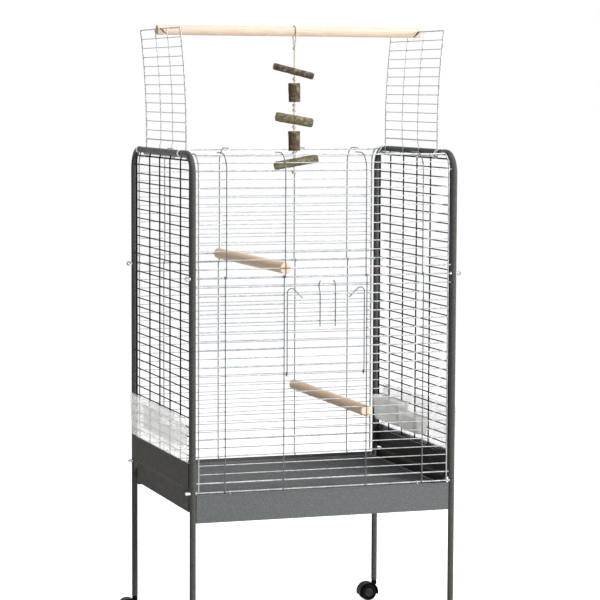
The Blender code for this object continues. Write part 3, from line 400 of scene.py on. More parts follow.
@dataclass(frozen=True)
class CottonRope(Finish):
    """Twisted cotton with loose fibres."""

    def dress(self, shading: Shading) -> None:
        """Add fibre colour, fibre relief and a soft sheen."""
        fibres = shading.cloud(2200.0, 4.0, (1.0, 1.0, 0.3))
        shading.tint(fibres, self.dark, self.light)
        shading.relief(fibres, 0.0002)
        shading.set({"Sheen Weight": 0.4, "Sheen Roughness": 0.5})


@dataclass(frozen=True)
class ClearPlastic(Finish):
    """Clear moulded plastic, slightly clouded where it has been handled."""

    opacity: float = 0.26
    clearness: float = 0.95

    def dress(self, shading: Shading) -> None:
        """Let light through and cloud the gloss."""
        shading.tint(shading.cloud(25.0), self.dark, self.light)
        shading.polish(shading.cloud(70.0, 5.0), self.roughness, self.roughness + 0.03)
        shading.set({"Alpha": self.opacity, "Transmission Weight": self.clearness, "IOR": 1.4})


@dataclass(frozen=True)
class MouldedPlastic(Finish):
    """Moulded plastic with a fine spark-eroded grain."""

    grain: float = 0.00005

    def dress(self, shading: Shading) -> None:
        """Add grain, uneven gloss and scuffs."""
        shading.tint(shading.cloud(160.0, 5.0), self.dark, self.light, (0.35, 0.8))
        shading.polish(shading.cloud(110.0, 4.0), self.roughness - 0.05, self.roughness + 0.12)
        shading.relief(shading.cloud(1500.0, 2.0), self.grain)
        shading.set({"Specular IOR Level": 0.05})


ANTHRACITE = PowderCoat("anthracite_powder_coat", "#3f3f3d", "#6a6a66", 0.38)
BLACK_WIRE = PowderCoat("black_wire_coat", "#0d0d0d", "#1b1b1a", 0.42, peel=0.00003)
HAMMERED = HammeredPaint("hammered_grey_paint", "#575a5a", "#767a7b", 0.44)
# Painted shade: a darker, browner copy of the hammered paint for the side sheets, which face away from the
# lamps.
HAMMERED_SHADED = HammeredPaint("hammered_paint_painted_shade", "#3a3732", "#54504a", 0.44, gloss=0.02)
FLOOR_WIRE = HammeredPaint("hammered_wire_paint", "#636565", "#858787", 0.40, 0.1, cell=500.0)
ZINC = ZincPlate("bright_zinc_plate", "#8b9095", "#babec2", 0.32, 0.5)
# Painted shade: a darker copy of the zinc plate for the uprights, canes and prongs, which are the same zinc
# wire as the rows.
SHADED_ZINC = ZincPlate("zinc_plate_painted_shade", "#4d5158", "#7a7f86", 0.36, 0.55)
WHITE_ZINC = ZincPlate("white_zinc_plate", "#b9bdc0", "#dfe2e3", 0.34, 0.8)
PERCH_ALONG_Y = TurnedWood("inner_perch_wood", "#fad3a8", "#ffe4c6", 0.60)
PERCH_ALONG_X = TurnedWood("top_perch_wood", "#dabfa8", "#ecd5c1", 0.58, axis=Axis.X)
PERCH_END_Y = CutEnd("inner_perch_end", "#e6c8ab", "#f8e3d0", 0.75)
PERCH_END_X = CutEnd("top_perch_end", "#d9b48f", "#f3d9bd", 0.75, axis=Axis.X)
STICK_BARK = Bark("dark_branch_bark", "#2b221a", "#655644", 0.88)
OLIVE_BARK = Bark("olive_branch_bark", "#483f2e", "#877b5d", 0.86, patch="#9a9070")
LOG_BARK = Bark("upright_log_bark", "#33281e", "#6c5b46", 0.88, patch="#8f8060", along=(1.0, 1.0, 0.25))
BRANCH_END = CutEnd("sawn_branch_end", "#94774f", "#c6a67b", 0.80, axis=Axis.X)
LOG_END = CutEnd("sawn_log_end", "#94774f", "#c6a67b", 0.80, axis=Axis.Z)
ROPE = CottonRope("twisted_cotton", "#cdc3ae", "#f1ebdd", 0.90)
CLEAR = ClearPlastic("clear_plastic", "#f6f7f5", "#fefefd", 0.02)
MILKY = ClearPlastic("milky_clear_plastic", "#f5f3ee", "#fdfcf9", 0.02, opacity=0.50, clearness=0.80)
BLACK_PLASTIC = MouldedPlastic("black_moulded_plastic", "#08090a", "#161718", 0.34)
HUB_PLASTIC = MouldedPlastic("grey_hub_plastic", "#2b2c2d", "#464748", 0.40)
TYRE = MouldedPlastic("wheel_tread", "#060606", "#141414", 0.50, grain=0.0001)


def arc(centre: Pair, radius: float, start: float, sweep: float, steps: int) -> list[Pair]:
    """Place points on an arc, from a start angle through a sweep in degrees, one more than its steps."""
    turns = [radians(start + sweep * step / steps) for step in range(steps + 1)]
    return [(centre[0] + radius * cos(turn), centre[1] + radius * sin(turn)) for turn in turns]


def oblong(left: float, right: float, foot: float, top: float) -> list[Pair]:
    """Outline an oblong, anticlockwise from its lowest corner."""
    return [(left, foot), (right, foot), (right, top), (left, top)]


def rounded_oblong(low: Pair, high: Pair, radius: float, steps: int = 5) -> list[Pair]:
    """Outline an oblong with rounded corners.

    Args:
        low: Lowest corner.
        high: Highest corner.
        radius: Corner radius.
        steps: Number of chords in a corner.

    Returns:
        The outline, anticlockwise from its right side.
    """
    left, right, foot, top = low[0] + radius, high[0] - radius, low[1] + radius, high[1] - radius
    outline: list[Pair] = []
    for quarter, centre in enumerate(((right, top), (left, top), (left, foot), (right, foot))):
        outline += arc(centre, radius, 90.0 * quarter, 90.0, steps)
    return outline


def lifted(spot: Sequence[float], level: float, axis: Axis) -> Vector:
    """Return a plane's point in space, with its level along the axis that the plane lacks."""
    return Vector((*spot[:axis], level, *spot[axis:]))


def around(centre: Vector, radius: float, turn: float, cross: tuple[Vector, Vector]) -> Vector:
    """Return the point at an angle round a centre, in the plane of two cross directions."""
    return centre + radius * (cos(turn) * cross[0] + sin(turn) * cross[1])


def rounded(route: Route, radius: float, steps: int = 5) -> list[Vector]:
    """Round the inner corners of a route.

    Args:
        route: Points of the route, in the plane or in space.
        radius: How far from a corner its rounding starts, at most half a leg.
        steps: Number of chords in a rounding.

    Returns:
        The rounded route.
    """
    line = [Vector(point) for point in route]
    result = [line[0]]
    for before, corner, after in zip(line, line[1:], line[2:]):
        back, ahead = before - corner, after - corner
        reach = min(radius, back.length / 2, ahead.length / 2)
        first = corner + back.normalized() * reach
        last = corner + ahead.normalized() * reach
        for step in range(steps + 1):
            share = step / steps
            result.append(first.lerp(corner, share).lerp(corner.lerp(last, share), share))
    return [*result, line[-1]]


def tangents(line: Sequence[Vector]) -> list[Vector]:
    """Return the direction of a line at each of its points."""
    held = [line[0], *line, line[-1]]
    return [(after - before).normalized() for before, after in zip(held, held[2:])]


def thickened(profile: Route, inner: float, outer: float) -> list[Pair]:
    """Give a folded line its sheet thickness.

    Args:
        profile: The line's points.
        inner: Offset of one face, to the left of the line.
        outer: Offset of the other face.

    Returns:
        The sheet's closed outline.
    """
    line = [Vector(point) for point in profile]
    normals = [Vector((-along.y, along.x)) for along in tangents(line)]
    near = [tuple(point + normal * inner) for point, normal in zip(line, normals)]
    far = [tuple(point + normal * outer) for point, normal in zip(line, normals)]
    return near + far[::-1]


def framed(line: Sequence[Vector]) -> list[tuple[Vector, Vector]]:
    """Carry a pair of cross directions along a route without twisting.

    Args:
        line: The route's points.

    Returns:
        Two unit directions across the route at each point.
    """
    ways = tangents(line)
    across = ways[0].orthogonal().normalized()
    frames = []
    for place, tangent in enumerate(ways):
        if place:
            across = across.copy()
            across.rotate(ways[place - 1].rotation_difference(tangent))
        across = (across - tangent * across.dot(tangent)).normalized()
        frames.append((across, tangent.cross(across)))
    return frames


def linked(name: str, data: bpy.types.ID | None) -> Object:
    """Make an object that stands in the scene.

    Args:
        name: The object's name.
        data: What it shows.

    Returns:
        The new object.
    """
    made = bpy.data.objects.new(name, data)
    bpy.context.scene.collection.objects.link(made)
    return made


class Sketch:
    """Points and faces gathered for one mesh, each face with its finish's number."""

    def __init__(self) -> None:
        """Start empty."""
        self.points: list[Vector] = []
        self.faces: list[tuple[int, ...]] = []
        self.numbers: list[int] = []

    def skin(self, rings: Sequence[Route], number: int = 0, looped: bool = False, cap: int = 0) -> None:
        """Skin a row of equal closed rings.

        Args:
            rings: The rings, each a list of points.
            number: Finish number of the sides.
            looped: True where the last ring meets the first, and nothing is capped.
            cap: What the finish number of the two end faces has on top of that of the sides.
        """
        base, count = len(self.points), len(rings[0])
        self.points += [Vector(point) for ring in rings for point in ring]
        for row in range(len(rings) if looped else len(rings) - 1):
            here = base + row * count
            there = base + (row + 1) % len(rings) * count
            for place in range(count):
                ahead = (place + 1) % count
                self.faces.append((here + place, here + ahead, there + ahead, there + place))
                self.numbers.append(number)
        if not looped:
            last = base + (len(rings) - 1) * count
            self.faces.append(tuple(range(base + count - 1, base - 1, -1)))
            self.faces.append(tuple(range(last, last + count)))
            self.numbers += [number + cap] * 2

    def extrude(self, outline: Sequence[Pair], low: float, high: float, axis: Axis) -> None:
        """Add a straight bar along an axis, with an outline in the plane of the other two."""
        self.skin([[lifted(spot, level, axis) for spot in outline] for level in (low, high)])

    def wire(self, route: Route, radius: float, sides: int = 8, number: int = 0) -> None:
        """Sweep a round wire along a route, with its cut ends blunted.

        Args:
            route: Points of the wire's middle.
            radius: The wire's radius.
            sides: Faces round the wire.
            number: Finish number.
        """
        line = [Vector(point) for point in route]
        blunt = 0.3 * radius
        start = (line[1] - line[0]).normalized() * blunt
        stop = (line[-2] - line[-1]).normalized() * blunt
        line = [line[0], line[0] + start, *line[1:-1], line[-1] + stop, line[-1]]
        radii = [radius - blunt, *[radius] * (len(line) - 2), radius - blunt]
        turns = [tau * (side + 0.5) / sides for side in range(sides)]
        rings = []
        for point, cross, girth in zip(line, framed(line), radii):
            rings.append([around(point, girth, turn, cross) for turn in turns])
        self.skin(rings, number)

    def plate(self, low: Triple, high: Triple) -> None:
        """Add a flat piece of sheet whose four corners in its wider plane are rounded.

        Args:
            low: Its lowest corner.
            high: Its highest corner.
        """
        size = [b - a for a, b in zip(low, high)]
        thin = Axis(size.index(min(size)))
        one, two = (axis for axis in Axis if axis is not thin)
        radius = min(0.0015, 0.4 * size[one], 0.4 * size[two])
        outline = rounded_oblong((low[one], low[two]), (high[one], high[two]), radius, 3)
        self.extrude(outline, low[thin], high[thin], thin)

    def weld(self, place: Triple, out: Vector, radius: float) -> None:
        """Add the small swelling that a spot weld leaves between two crossing wires.

        Args:
            place: Middle of the weld.
            out: Unit direction from one wire to the other.
            radius: Radius of the swelling across the wires.
        """
        centre = Vector(place)
        across = out.orthogonal().normalized()
        cross = (across, out.cross(across))
        base, sides = len(self.points), 6
        self.points += [centre + 0.55 * radius * out, centre - 0.55 * radius * out]
        for side in range(sides):
            self.points.append(around(centre, radius, tau * side / sides, cross))
            here, ahead = base + 2 + side, base + 2 + (side + 1) % sides
            self.faces += [(base, here, ahead), (base + 1, ahead, here)]
            self.numbers += [0, 0]

    def turned(
        self,
        profile: Sequence[Pair],
        centre: Triple = ORIGIN,
        axis: Axis = Axis.Z,
        sides: int = 32,
        number: int = 0,
        start: float = 0.0,
        sweep: float = 360.0,
        sign: int = 1,
    ) -> None:
        """Turn a closed (radius, height) outline about an axis.

        Args:
            profile: The outline, which may start and end on the axis.
            centre: A point on the axis at height zero.
            axis: The axis.
            sides: Steps round the axis.
            number: Finish number.
            start: First angle in degrees, from +X about Z, or from +X towards +Z about Y.
            sweep: Angle turned through, in degrees.
            sign: -1 to mirror the outline along the axis.
        """
        rings = []
        whole = sweep >= 360.0
        for step in range(sides if whole else sides + 1):
            turn = radians(start + sweep * step / sides)
            ring = []
            for radius, height in profile:
                spot = lifted((radius * cos(turn), radius * sin(turn)), sign * height, axis)
                ring.append(Vector(centre) + spot)
            rings.append(ring)
        self.skin(rings, number, looped=whole)

    def mesh(self, name: str) -> Mesh:
        """Make the mesh, with merged points, outward faces and smooth shading.

        Args:
            name: The mesh's name.

        Returns:
            The finished mesh.
        """
        mesh = bpy.data.meshes.new(name)
        mesh.from_pydata([tuple(point) for point in self.points], [], self.faces)
        mesh.polygons.foreach_set("material_index", self.numbers)
        shape = bmesh.new()
        shape.from_mesh(mesh)
        bmesh.ops.remove_doubles(shape, verts=shape.verts, dist=1e-6)
        bmesh.ops.recalc_face_normals(shape, faces=shape.faces)
        shape.to_mesh(mesh)
        shape.free()
        mesh.shade_smooth()
        mesh.set_sharp_from_angle(angle=SHARP_ANGLE)
        return mesh

    def put(
        self,
        name: str,
        finishes: Sequence[Finish],
        slot: str,
        body: str = "frame",
        node: str = "",
        place: Triple = ORIGIN,
    ) -> Object:
        """Put the sketch in the scene as a piece on its body.

        Args:
            name: The piece's name.
            finishes: One finish for each face number.
            slot: Not used.
            body: The body that it rides on.
            node: The solid that it takes the place of, if any.
            place: Where the sketch's own origin lies.

        Returns:
            The new object.
        """
        piece = linked(name, self.mesh(name))
        piece.location = place
        for finish in finishes:
            piece.data.materials.append(finish.material())
        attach(piece, body)
        if node:
            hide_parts(node)
        log.info("%s rides on %s", name, body)
        return piece


def carve(piece: Object, cutters: Iterable[Sketch]) -> None:
    """Cut shapes out of a piece's mesh for good.

    Args:
        piece: The piece to cut.
        cutters: Closed shapes in the piece's own coordinates.
    """
    tools = []
    for number, cutter in enumerate(cutters):
        tool = linked(f"{piece.name}_cut_{number}", cutter.mesh("cut"))
        tool.matrix_world = piece.matrix_world
        tools.append(tool)
        cut = piece.modifiers.new(tool.name, "BOOLEAN")
        cut.operation = "DIFFERENCE"
        cut.solver = "EXACT"
        cut.object = tool
    bpy.context.view_layer.update()
    evaluated = piece.evaluated_get(bpy.context.evaluated_depsgraph_get())
    carved = bpy.data.meshes.new_from_object(evaluated)
    piece.modifiers.clear()
    piece.data = carved
    carved.shade_smooth()
    carved.set_sharp_from_angle(angle=SHARP_ANGLE)
    for tool in tools:
        bpy.data.objects.remove(tool)


def block(low: Triple, high: Triple) -> Sketch:
    """Make a plain block for cutting.

    Args:
        low: Its lowest corner.
        high: Its highest corner.

    Returns:
        The block.
    """
    sketch = Sketch()
    sketch.extrude(oblong(low[0], high[0], low[1], high[1]), low[2], high[2], Axis.Z)
    return sketch


def dress_solid(node: str, finish: Finish) -> None:
    """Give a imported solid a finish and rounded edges.

    Args:
        node: The solid's name.
        finish: What it wears.
    """
    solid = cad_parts[node]
    solid.data.materials.clear()
    solid.data.materials.append(finish.material())
    weld = solid.modifiers.new("join_corners", "WELD")
    weld.merge_threshold = 0.00001
    bevel = solid.modifiers.new("rounded_edges", "BEVEL")
    bevel.width = SOLID_EDGE
    bevel.segments = 2
    bevel.limit_method = "ANGLE"
    bevel.angle_limit = radians(40.0)
    bevel.harden_normals = False
    log.info("%s keeps its solid", node)


@dataclass
class SideFrame:
    """One inverted U of tube with the plugs in its legs and washers where the rods pass."""

    hand: Hand
    bend_steps: int = 16
    tube_sides: int = 28
    washer_radius: float = 0.0046
    washer_height: float = 0.0011
    washer_sunk: float = 0.0016
    washer_edge: float = 0.0004

    def build(self) -> None:
        """Bend the tube, then add its washers and plugs."""
        self.tube()
        self.washers()
        for end in End:
            dress_solid(f"{end.word}_{self.hand.word}_plug", BLACK_PLASTIC)

    def tube(self) -> None:
        """Sweep the tube from leg to leg."""
        bend_y = CAGE.post_y - CAGE.corner_radius
        bend_z = CAGE.top_bar_z - CAGE.corner_radius
        line = [(-CAGE.post_y, CAGE.leg_end_z)]
        line += arc((-bend_y, bend_z), CAGE.corner_radius, 180.0, -90.0, self.bend_steps)
        line += arc((bend_y, bend_z), CAGE.corner_radius, 90.0, -90.0, self.bend_steps)
        line.append((CAGE.post_y, CAGE.leg_end_z))
        sketch = Sketch()
        route = [(self.hand * CAGE.side_x, y, z) for y, z in line]
        sketch.wire(route, CAGE.tube_radius, self.tube_sides)
        node = f"{self.hand.word}_side_frame"
        sketch.put(f"{node}_tube", [ANTHRACITE], "anthracite_tube", node=node)

    def washers(self) -> None:
        """Seat a small zinc washer on each side of the tube at every tie rod."""
        sketch = Sketch()
        outer = CAGE.tube_radius + self.washer_height
        inner = CAGE.tube_radius - self.washer_sunk
        profile = [
            (Gauge.ROD, outer),
            (self.washer_radius - self.washer_edge, outer),
            (self.washer_radius, outer - self.washer_edge),
            (self.washer_radius, inner),
            (Gauge.ROD, inner),
        ]
        for end in End:
            for z in (CAGE.middle_rod_z, CAGE.floor_rod_z):
                centre = (self.hand * CAGE.side_x, end * CAGE.post_y, z)
                for sign in (-1, 1):
                    sketch.turned(profile, centre, Axis.X, sides=16, sign=sign)
        sketch.put(f"{self.hand.word}_rod_washers", [WHITE_ZINC], "zinc_wire")


@dataclass
class SideMesh:
    """The black welded mesh inside one side frame; the right one is the left one turned half round."""

    hand: Hand
    rows: int = 33
    rail_y: float = 0.272
    uprights_y: tuple[float, ...] = (0.192, 0.088, -0.016, -0.120)
    tied_rows: tuple[int, ...] = (0, 1, 11, 22)
    edge_rows: tuple[int, ...] = (0, 32)
    foot_z: float = 0.530
    rail_drop: float = 0.004
    bend_radius: float = 0.004
    coat: float = 0.0005
    weld_radius: float = 0.0024

    def reach(self, z: float, radius: float) -> float:
        """Find how far a tied row reaches along Y inside the frame.

        Args:
            z: Height of the row.
            radius: The row's radius.

        Returns:
            The reach from the middle of the cage.
        """
        over = z + radius - (CAGE.top_bar_z - CAGE.corner_radius)
        if over <= 0.0:
            return CAGE.post_y - CAGE.tube_radius - CAGE.fit
        hollow = CAGE.corner_radius - CAGE.tube_radius
        return CAGE.post_y - CAGE.corner_radius + sqrt(hollow**2 - over**2) - CAGE.fit

    def build(self) -> None:
        """Lay the rows, then the rails and uprights, and weld every crossing."""
        sketch = Sketch()
        x = self.hand * CAGE.side_x
        outer_x = self.hand * (CAGE.side_x + CAGE.layer)
        out = Vector((self.hand, 0.0, 0.0))
        uprights = [self.hand * y for y in self.uprights_y]
        top = CAGE.mesh_top_z
        for index in range(self.rows):
            z = top - index * CAGE.mesh_pitch
            gauge = Gauge.EDGE if index in self.edge_rows else Gauge.ROW
            y = self.reach(z, gauge) if index in self.tied_rows else self.rail_y
            sketch.wire([(x, -y, z), (x, y, z)], gauge + self.coat)
            for upright_y in uprights:
                sketch.weld(((x + outer_x) / 2, upright_y, z), out, self.weld_radius)
        for y in (-self.rail_y, self.rail_y):
            rail = [(x, y, self.foot_z), (x, y, top - self.rail_drop)]
            sketch.wire(rail, Gauge.RAIL + self.coat, sides=12)
        bar_z = CAGE.top_bar_z - CAGE.tube_radius - CAGE.fit
        for y in uprights:
            route = [(outer_x, y, self.foot_z), (outer_x, y, top), (x, y, bar_z)]
            sketch.wire(rounded(route, self.bend_radius), Gauge.UPRIGHT + self.coat)
        node = f"{self.hand.word}_side_mesh"
        sketch.put(f"{node}_wires", [BLACK_WIRE], "black_wire", node=node)


@dataclass
class Grilles:
    """The two zinc wire panels at one end of the cage and the tie rods that carry them."""

    end: End
    outer_x: float = 0.359
    inner_x: Pair = (0.285, 0.119)
    lower_rows: int = 23
    upper_rows: int = 12
    curved_rows: tuple[tuple[float, Gauge], ...] = ((28.0, Gauge.ROW), (71.0, Gauge.EDGE))
    upper_shift: float = -0.003
    bend_z: float = 1.325
    bend_radius: float = 0.047
    bend_steps: int = 12
    inner_tip_y: float = 0.215
    outer_tip_y: float = 0.243
    door_rows: range = range(2, 11)
    hook_sweep: float = 225.0
    hook_steps: int = 12
    eye_radius: float = 0.0046
    eye_sweep: float = 300.0
    eye_steps: int = 22
    knob_radius: float = 0.0045
    weld_radius: float = 0.0023

    def build(self) -> None:
        """Build both rods and both panels."""
        self.middle_rod()
        self.floor_rod()
        self.lower()
        self.upper()

    def put(self, sketch: Sketch, name: str, ending: str, finishes: Sequence[Finish]) -> None:
        """Put a sketch in the place of one of this end's solids."""
        node = f"{self.end.word}_{name}"
        sketch.put(f"{node}_{ending}", finishes, "zinc_wire", node=node)

    def middle_rod(self) -> None:
        """Bend the rod at half height, with an eye outside each post."""
        eye = CAGE.rod_end_x + self.eye_radius
        sweep, steps = self.eye_sweep, self.eye_steps
        line = arc((-eye, CAGE.middle_rod_z), self.eye_radius, sweep, -sweep, steps)
        line += arc((eye, CAGE.middle_rod_z), self.eye_radius, 180.0, sweep, steps)
        sketch = Sketch()
        sketch.wire([(x, self.end * CAGE.post_y, z) for x, z in line], Gauge.ROD, sides=14)
        self.put(sketch, "middle_rod", "wire", [ZINC])

    def floor_rod(self) -> None:
        """Make the rod at floor height, with a domed nut outside each post."""
        y, z, span = self.end * CAGE.post_y, CAGE.floor_rod_z, CAGE.rod_end_x
        sketch = Sketch()
        sketch.wire([(-span, y, z), (span, y, z)], Gauge.ROD, sides=14)
        inner = CAGE.side_x + CAGE.tube_radius + CAGE.fit
        tip = span + 2 * self.eye_radius
        dome = arc((tip - self.knob_radius, 0.0), self.knob_radius, 90.0, -90.0, 6)
        profile = [(0.0, inner), (self.knob_radius, inner), *((r, x) for x, r in dome)]
        for hand in Hand:
            sketch.turned(profile, (0.0, y, z), Axis.X, sides=20, number=1, sign=hand)
        self.put(sketch, "floor_rod", "wire", [ZINC, WHITE_ZINC])

    def hook(self, x: float, z: float, turn: int) -> list[Triple]:
        """Bend a wire end round the tie rod at a height, over it with turn 1 and under it with -1."""
        bend = arc((0.0, 0.0), CAGE.rod_hook_radius, 0.0, self.hook_sweep, self.hook_steps)
        return [(x, self.end * (CAGE.post_y + out), z + turn * up) for out, up in bend]

    def row(self, sketch: Sketch, z: float, span: float, gauge: Gauge, shift: float = 0.0) -> None:
        """Lay a row right across a panel's flat part.

        Args:
            sketch: The panel.
            z: The row's height.
            span: Distance of its ends from the middle.
            gauge: Its radius.
            shift: How far the panel's uprights stand out from their places.
        """
        y = self.end * CAGE.row_y
        sketch.wire([(-span, y, z), (span, y, z)], gauge)
        self.weld_row(sketch, z, shift)

    def weld_row(self, sketch: Sketch, z: float, shift: float) -> None:
        """Weld a row to the inner uprights.

        Args:
            sketch: The panel.
            z: The row's height.
            shift: How far the uprights stand out from their places.
        """
        y = self.end * (CAGE.row_y + CAGE.layer / 2)
        for x in self.inner_x:
            for hand in Hand:
                sketch.weld((hand * (x + shift), y, z), Vector((0.0, self.end, 0.0)), self.weld_radius)

    def lower(self) -> None:
        """Weld the panel between the rods; at the front it leaves room for the door."""
        sketch = Sketch()
        y = self.end * CAGE.row_y
        gap = self.door_rows if self.end is End.FRONT else range(0)
        for index in range(1, self.lower_rows + 1):
            z = CAGE.row_z(-index)
            if index in gap:
                stop = self.inner_x[1] - Gauge.UPRIGHT
                for hand in Hand:
                    sketch.wire([(hand * stop, y, z), (hand * self.outer_x, y, z)], Gauge.EDGE)
                self.weld_row(sketch, z, 0.0)
            elif index in (1, self.lower_rows):
                self.row(sketch, z, CAGE.post_face_x, Gauge.EDGE)
            else:
                self.row(sketch, z, self.outer_x, Gauge.ROW)
        foot = CAGE.floor_rod_z + Gauge.ROD + CAGE.fit
        top = CAGE.middle_rod_z - Gauge.ROD - CAGE.fit
        for hand in Hand:
            x = hand * self.outer_x
            sketch.wire([(x, y, foot), (x, y, top)], Gauge.RAIL, sides=12)
            for reach in self.inner_x:
                under = self.hook(hand * reach, CAGE.floor_rod_z, -1)
                over = self.hook(hand * reach, CAGE.middle_rod_z, 1)
                # Painted shade: the uprights wear the darker copy of the zinc plate.
                sketch.wire(under[::-1] + over, Gauge.UPRIGHT, number=1)
        self.put(sketch, "lower_grille", "wires", [ZINC, SHADED_ZINC])

    def bend(self, plane: float, radius: float, angle: float) -> Pair:
        """Return the distance from the middle and the height of a point on the bend at the top."""
        turn = radians(angle)
        return plane - radius * (1 - cos(turn)), self.bend_z + radius * sin(turn)

    def upright(self, x: float, plane: float, radius: float, foot: float, tip: float) -> list[Triple]:
        """Route an upright up its plane and over the bend.

        Args:
            x: Where it stands.
            plane: Distance of its flat part from the middle of the cage.
            radius: Radius of its bend.
            foot: Height of its lower end.
            tip: Distance of its upper end from the middle.

        Returns:
            The upright's points.
        """
        angles = [90.0 * step / self.bend_steps for step in range(self.bend_steps + 1)]
        bend = [self.bend(plane, radius, angle) for angle in angles]
        return [(x, self.end * y, z) for y, z in ((plane, foot), *bend, (tip, bend[-1][1]))]

    def upper(self) -> None:
        """Weld the panel above the rods, whose top bends back over the cage."""
        sketch = Sketch()
        for index in range(1, self.upper_rows + 1):
            span = CAGE.post_face_x if index in (1, self.upper_rows) else self.outer_x
            gauge = Gauge.EDGE if index == 1 else Gauge.ROW
            self.row(sketch, CAGE.row_z(index), span, gauge, self.upper_shift)
        outer_bend = self.bend_radius - CAGE.layer
        for angle, gauge in self.curved_rows:
            y, z = self.bend(CAGE.row_y, outer_bend, angle)
            sketch.wire([(-self.outer_x, self.end * y, z), (self.outer_x, self.end * y, z)], gauge)
        for hand in Hand:
            foot = CAGE.middle_rod_z + Gauge.ROD + CAGE.fit
            route = self.upright(hand * self.outer_x, CAGE.row_y, outer_bend, foot, self.outer_tip_y)
            sketch.wire(route, Gauge.RAIL, sides=12)
            for reach in self.inner_x:
                x = hand * (reach + self.upper_shift)
                foot = CAGE.middle_rod_z - Gauge.ROD
                route = self.upright(x, CAGE.upright_y, self.bend_radius, foot, self.inner_tip_y)
                # Painted shade: the uprights wear the darker copy of the zinc plate.
                sketch.wire(route, Gauge.UPRIGHT, number=1)
        self.put(sketch, "upper_grille", "wires", [ZINC, SHADED_ZINC])


@dataclass
class FrontDoor:
    """The drop-down door: two canes that loop round a grille wire, rows and catch prongs."""

    cane_x: float = 0.111
    loop_radius: float = 0.0045
    cane_arc_radius: float = 0.012
    cane_top_z: float = 1.007
    cane_tip: Pair = (0.067, 0.980)
    rows: range = range(2, 11)
    prong_rows: tuple[int, int] = (2, 5)
    prongs: tuple[Triple, ...] = ((-0.018, -0.002, 0.003), (0.026, 0.001, -0.003))
    prong_foot_z: float = 0.902
    prong_tip_z: float = 1.0255
    prong_drops: Triple = (0.030, 0.018, 0.007)
    prong_curl: Pair = (0.001, 0.004)
    prong_bend: float = 0.004
    weld_radius: float = 0.0024

    @property
    def plane(self) -> float:
        """Return the Y of the door's rows."""
        return -CAGE.row_y - self.loop_radius

    def build(self) -> None:
        """Lay the rows, bend the canes and the prongs, and weld them."""
        sketch = Sketch()
        for index in self.rows:
            z = CAGE.row_z(-index)
            gauge = Gauge.EDGE if index in self.prong_rows else Gauge.ROW
            sketch.wire([(-self.cane_x, self.plane, z), (self.cane_x, self.plane, z)], gauge)
        for hand in Hand:
            # Painted shade: the canes and prongs wear the darker copy of the zinc plate.
            sketch.wire(self.cane(hand), Gauge.UPRIGHT, sides=10, number=1)
        tip, foot_y = self.prong_tip_z, self.plane - CAGE.layer
        tip_y = -CAGE.row_y - SQUARE_HALF * (Gauge.EDGE + Gauge.UPRIGHT) - 2 * CAGE.fit
        low, middle, high = self.prong_drops
        near, far = self.prong_curl
        for x, jog, lean in self.prongs:
            route = [
                (x, foot_y, self.prong_foot_z),
                (x, foot_y, tip - low),
                (x + jog, tip_y, tip - middle),
                (x + jog, tip_y, tip - high),
                (x + jog + lean, tip_y + near, tip),
                (x + jog + 2.0 * lean, tip_y + far, tip - near),
            ]
            sketch.wire(rounded(route, self.prong_bend), Gauge.UPRIGHT, sides=10, number=1)
            for index in self.prong_rows:
                spot = (x, self.plane - CAGE.layer / 2, CAGE.row_z(-index))
                sketch.weld(spot, Vector((0.0, 1.0, 0.0)), self.weld_radius)
        sketch.put("front_door_wires", [ZINC, SHADED_ZINC], "zinc_wire", "door", "front_door")

    def cane(self, hand: Hand) -> list[Triple]:
        """Route one cane from its loop to its tip.

        Args:
            hand: The side that it stands on.

        Returns:
            The cane's points.
        """
        hinge = (-CAGE.row_y, CAGE.row_z(-self.rows.stop))
        loop = arc(hinge, self.loop_radius, 470.0, -290.0, 20)
        crook = (self.cane_x - self.cane_arc_radius, self.cane_top_z - self.cane_arc_radius)
        bend = [*arc(crook, self.cane_arc_radius, 0.0, 125.0, 12), self.cane_tip]
        route = [(hand * self.cane_x, y, z) for y, z in loop]
        return route + [(hand * across, self.plane, z) for across, z in bend]


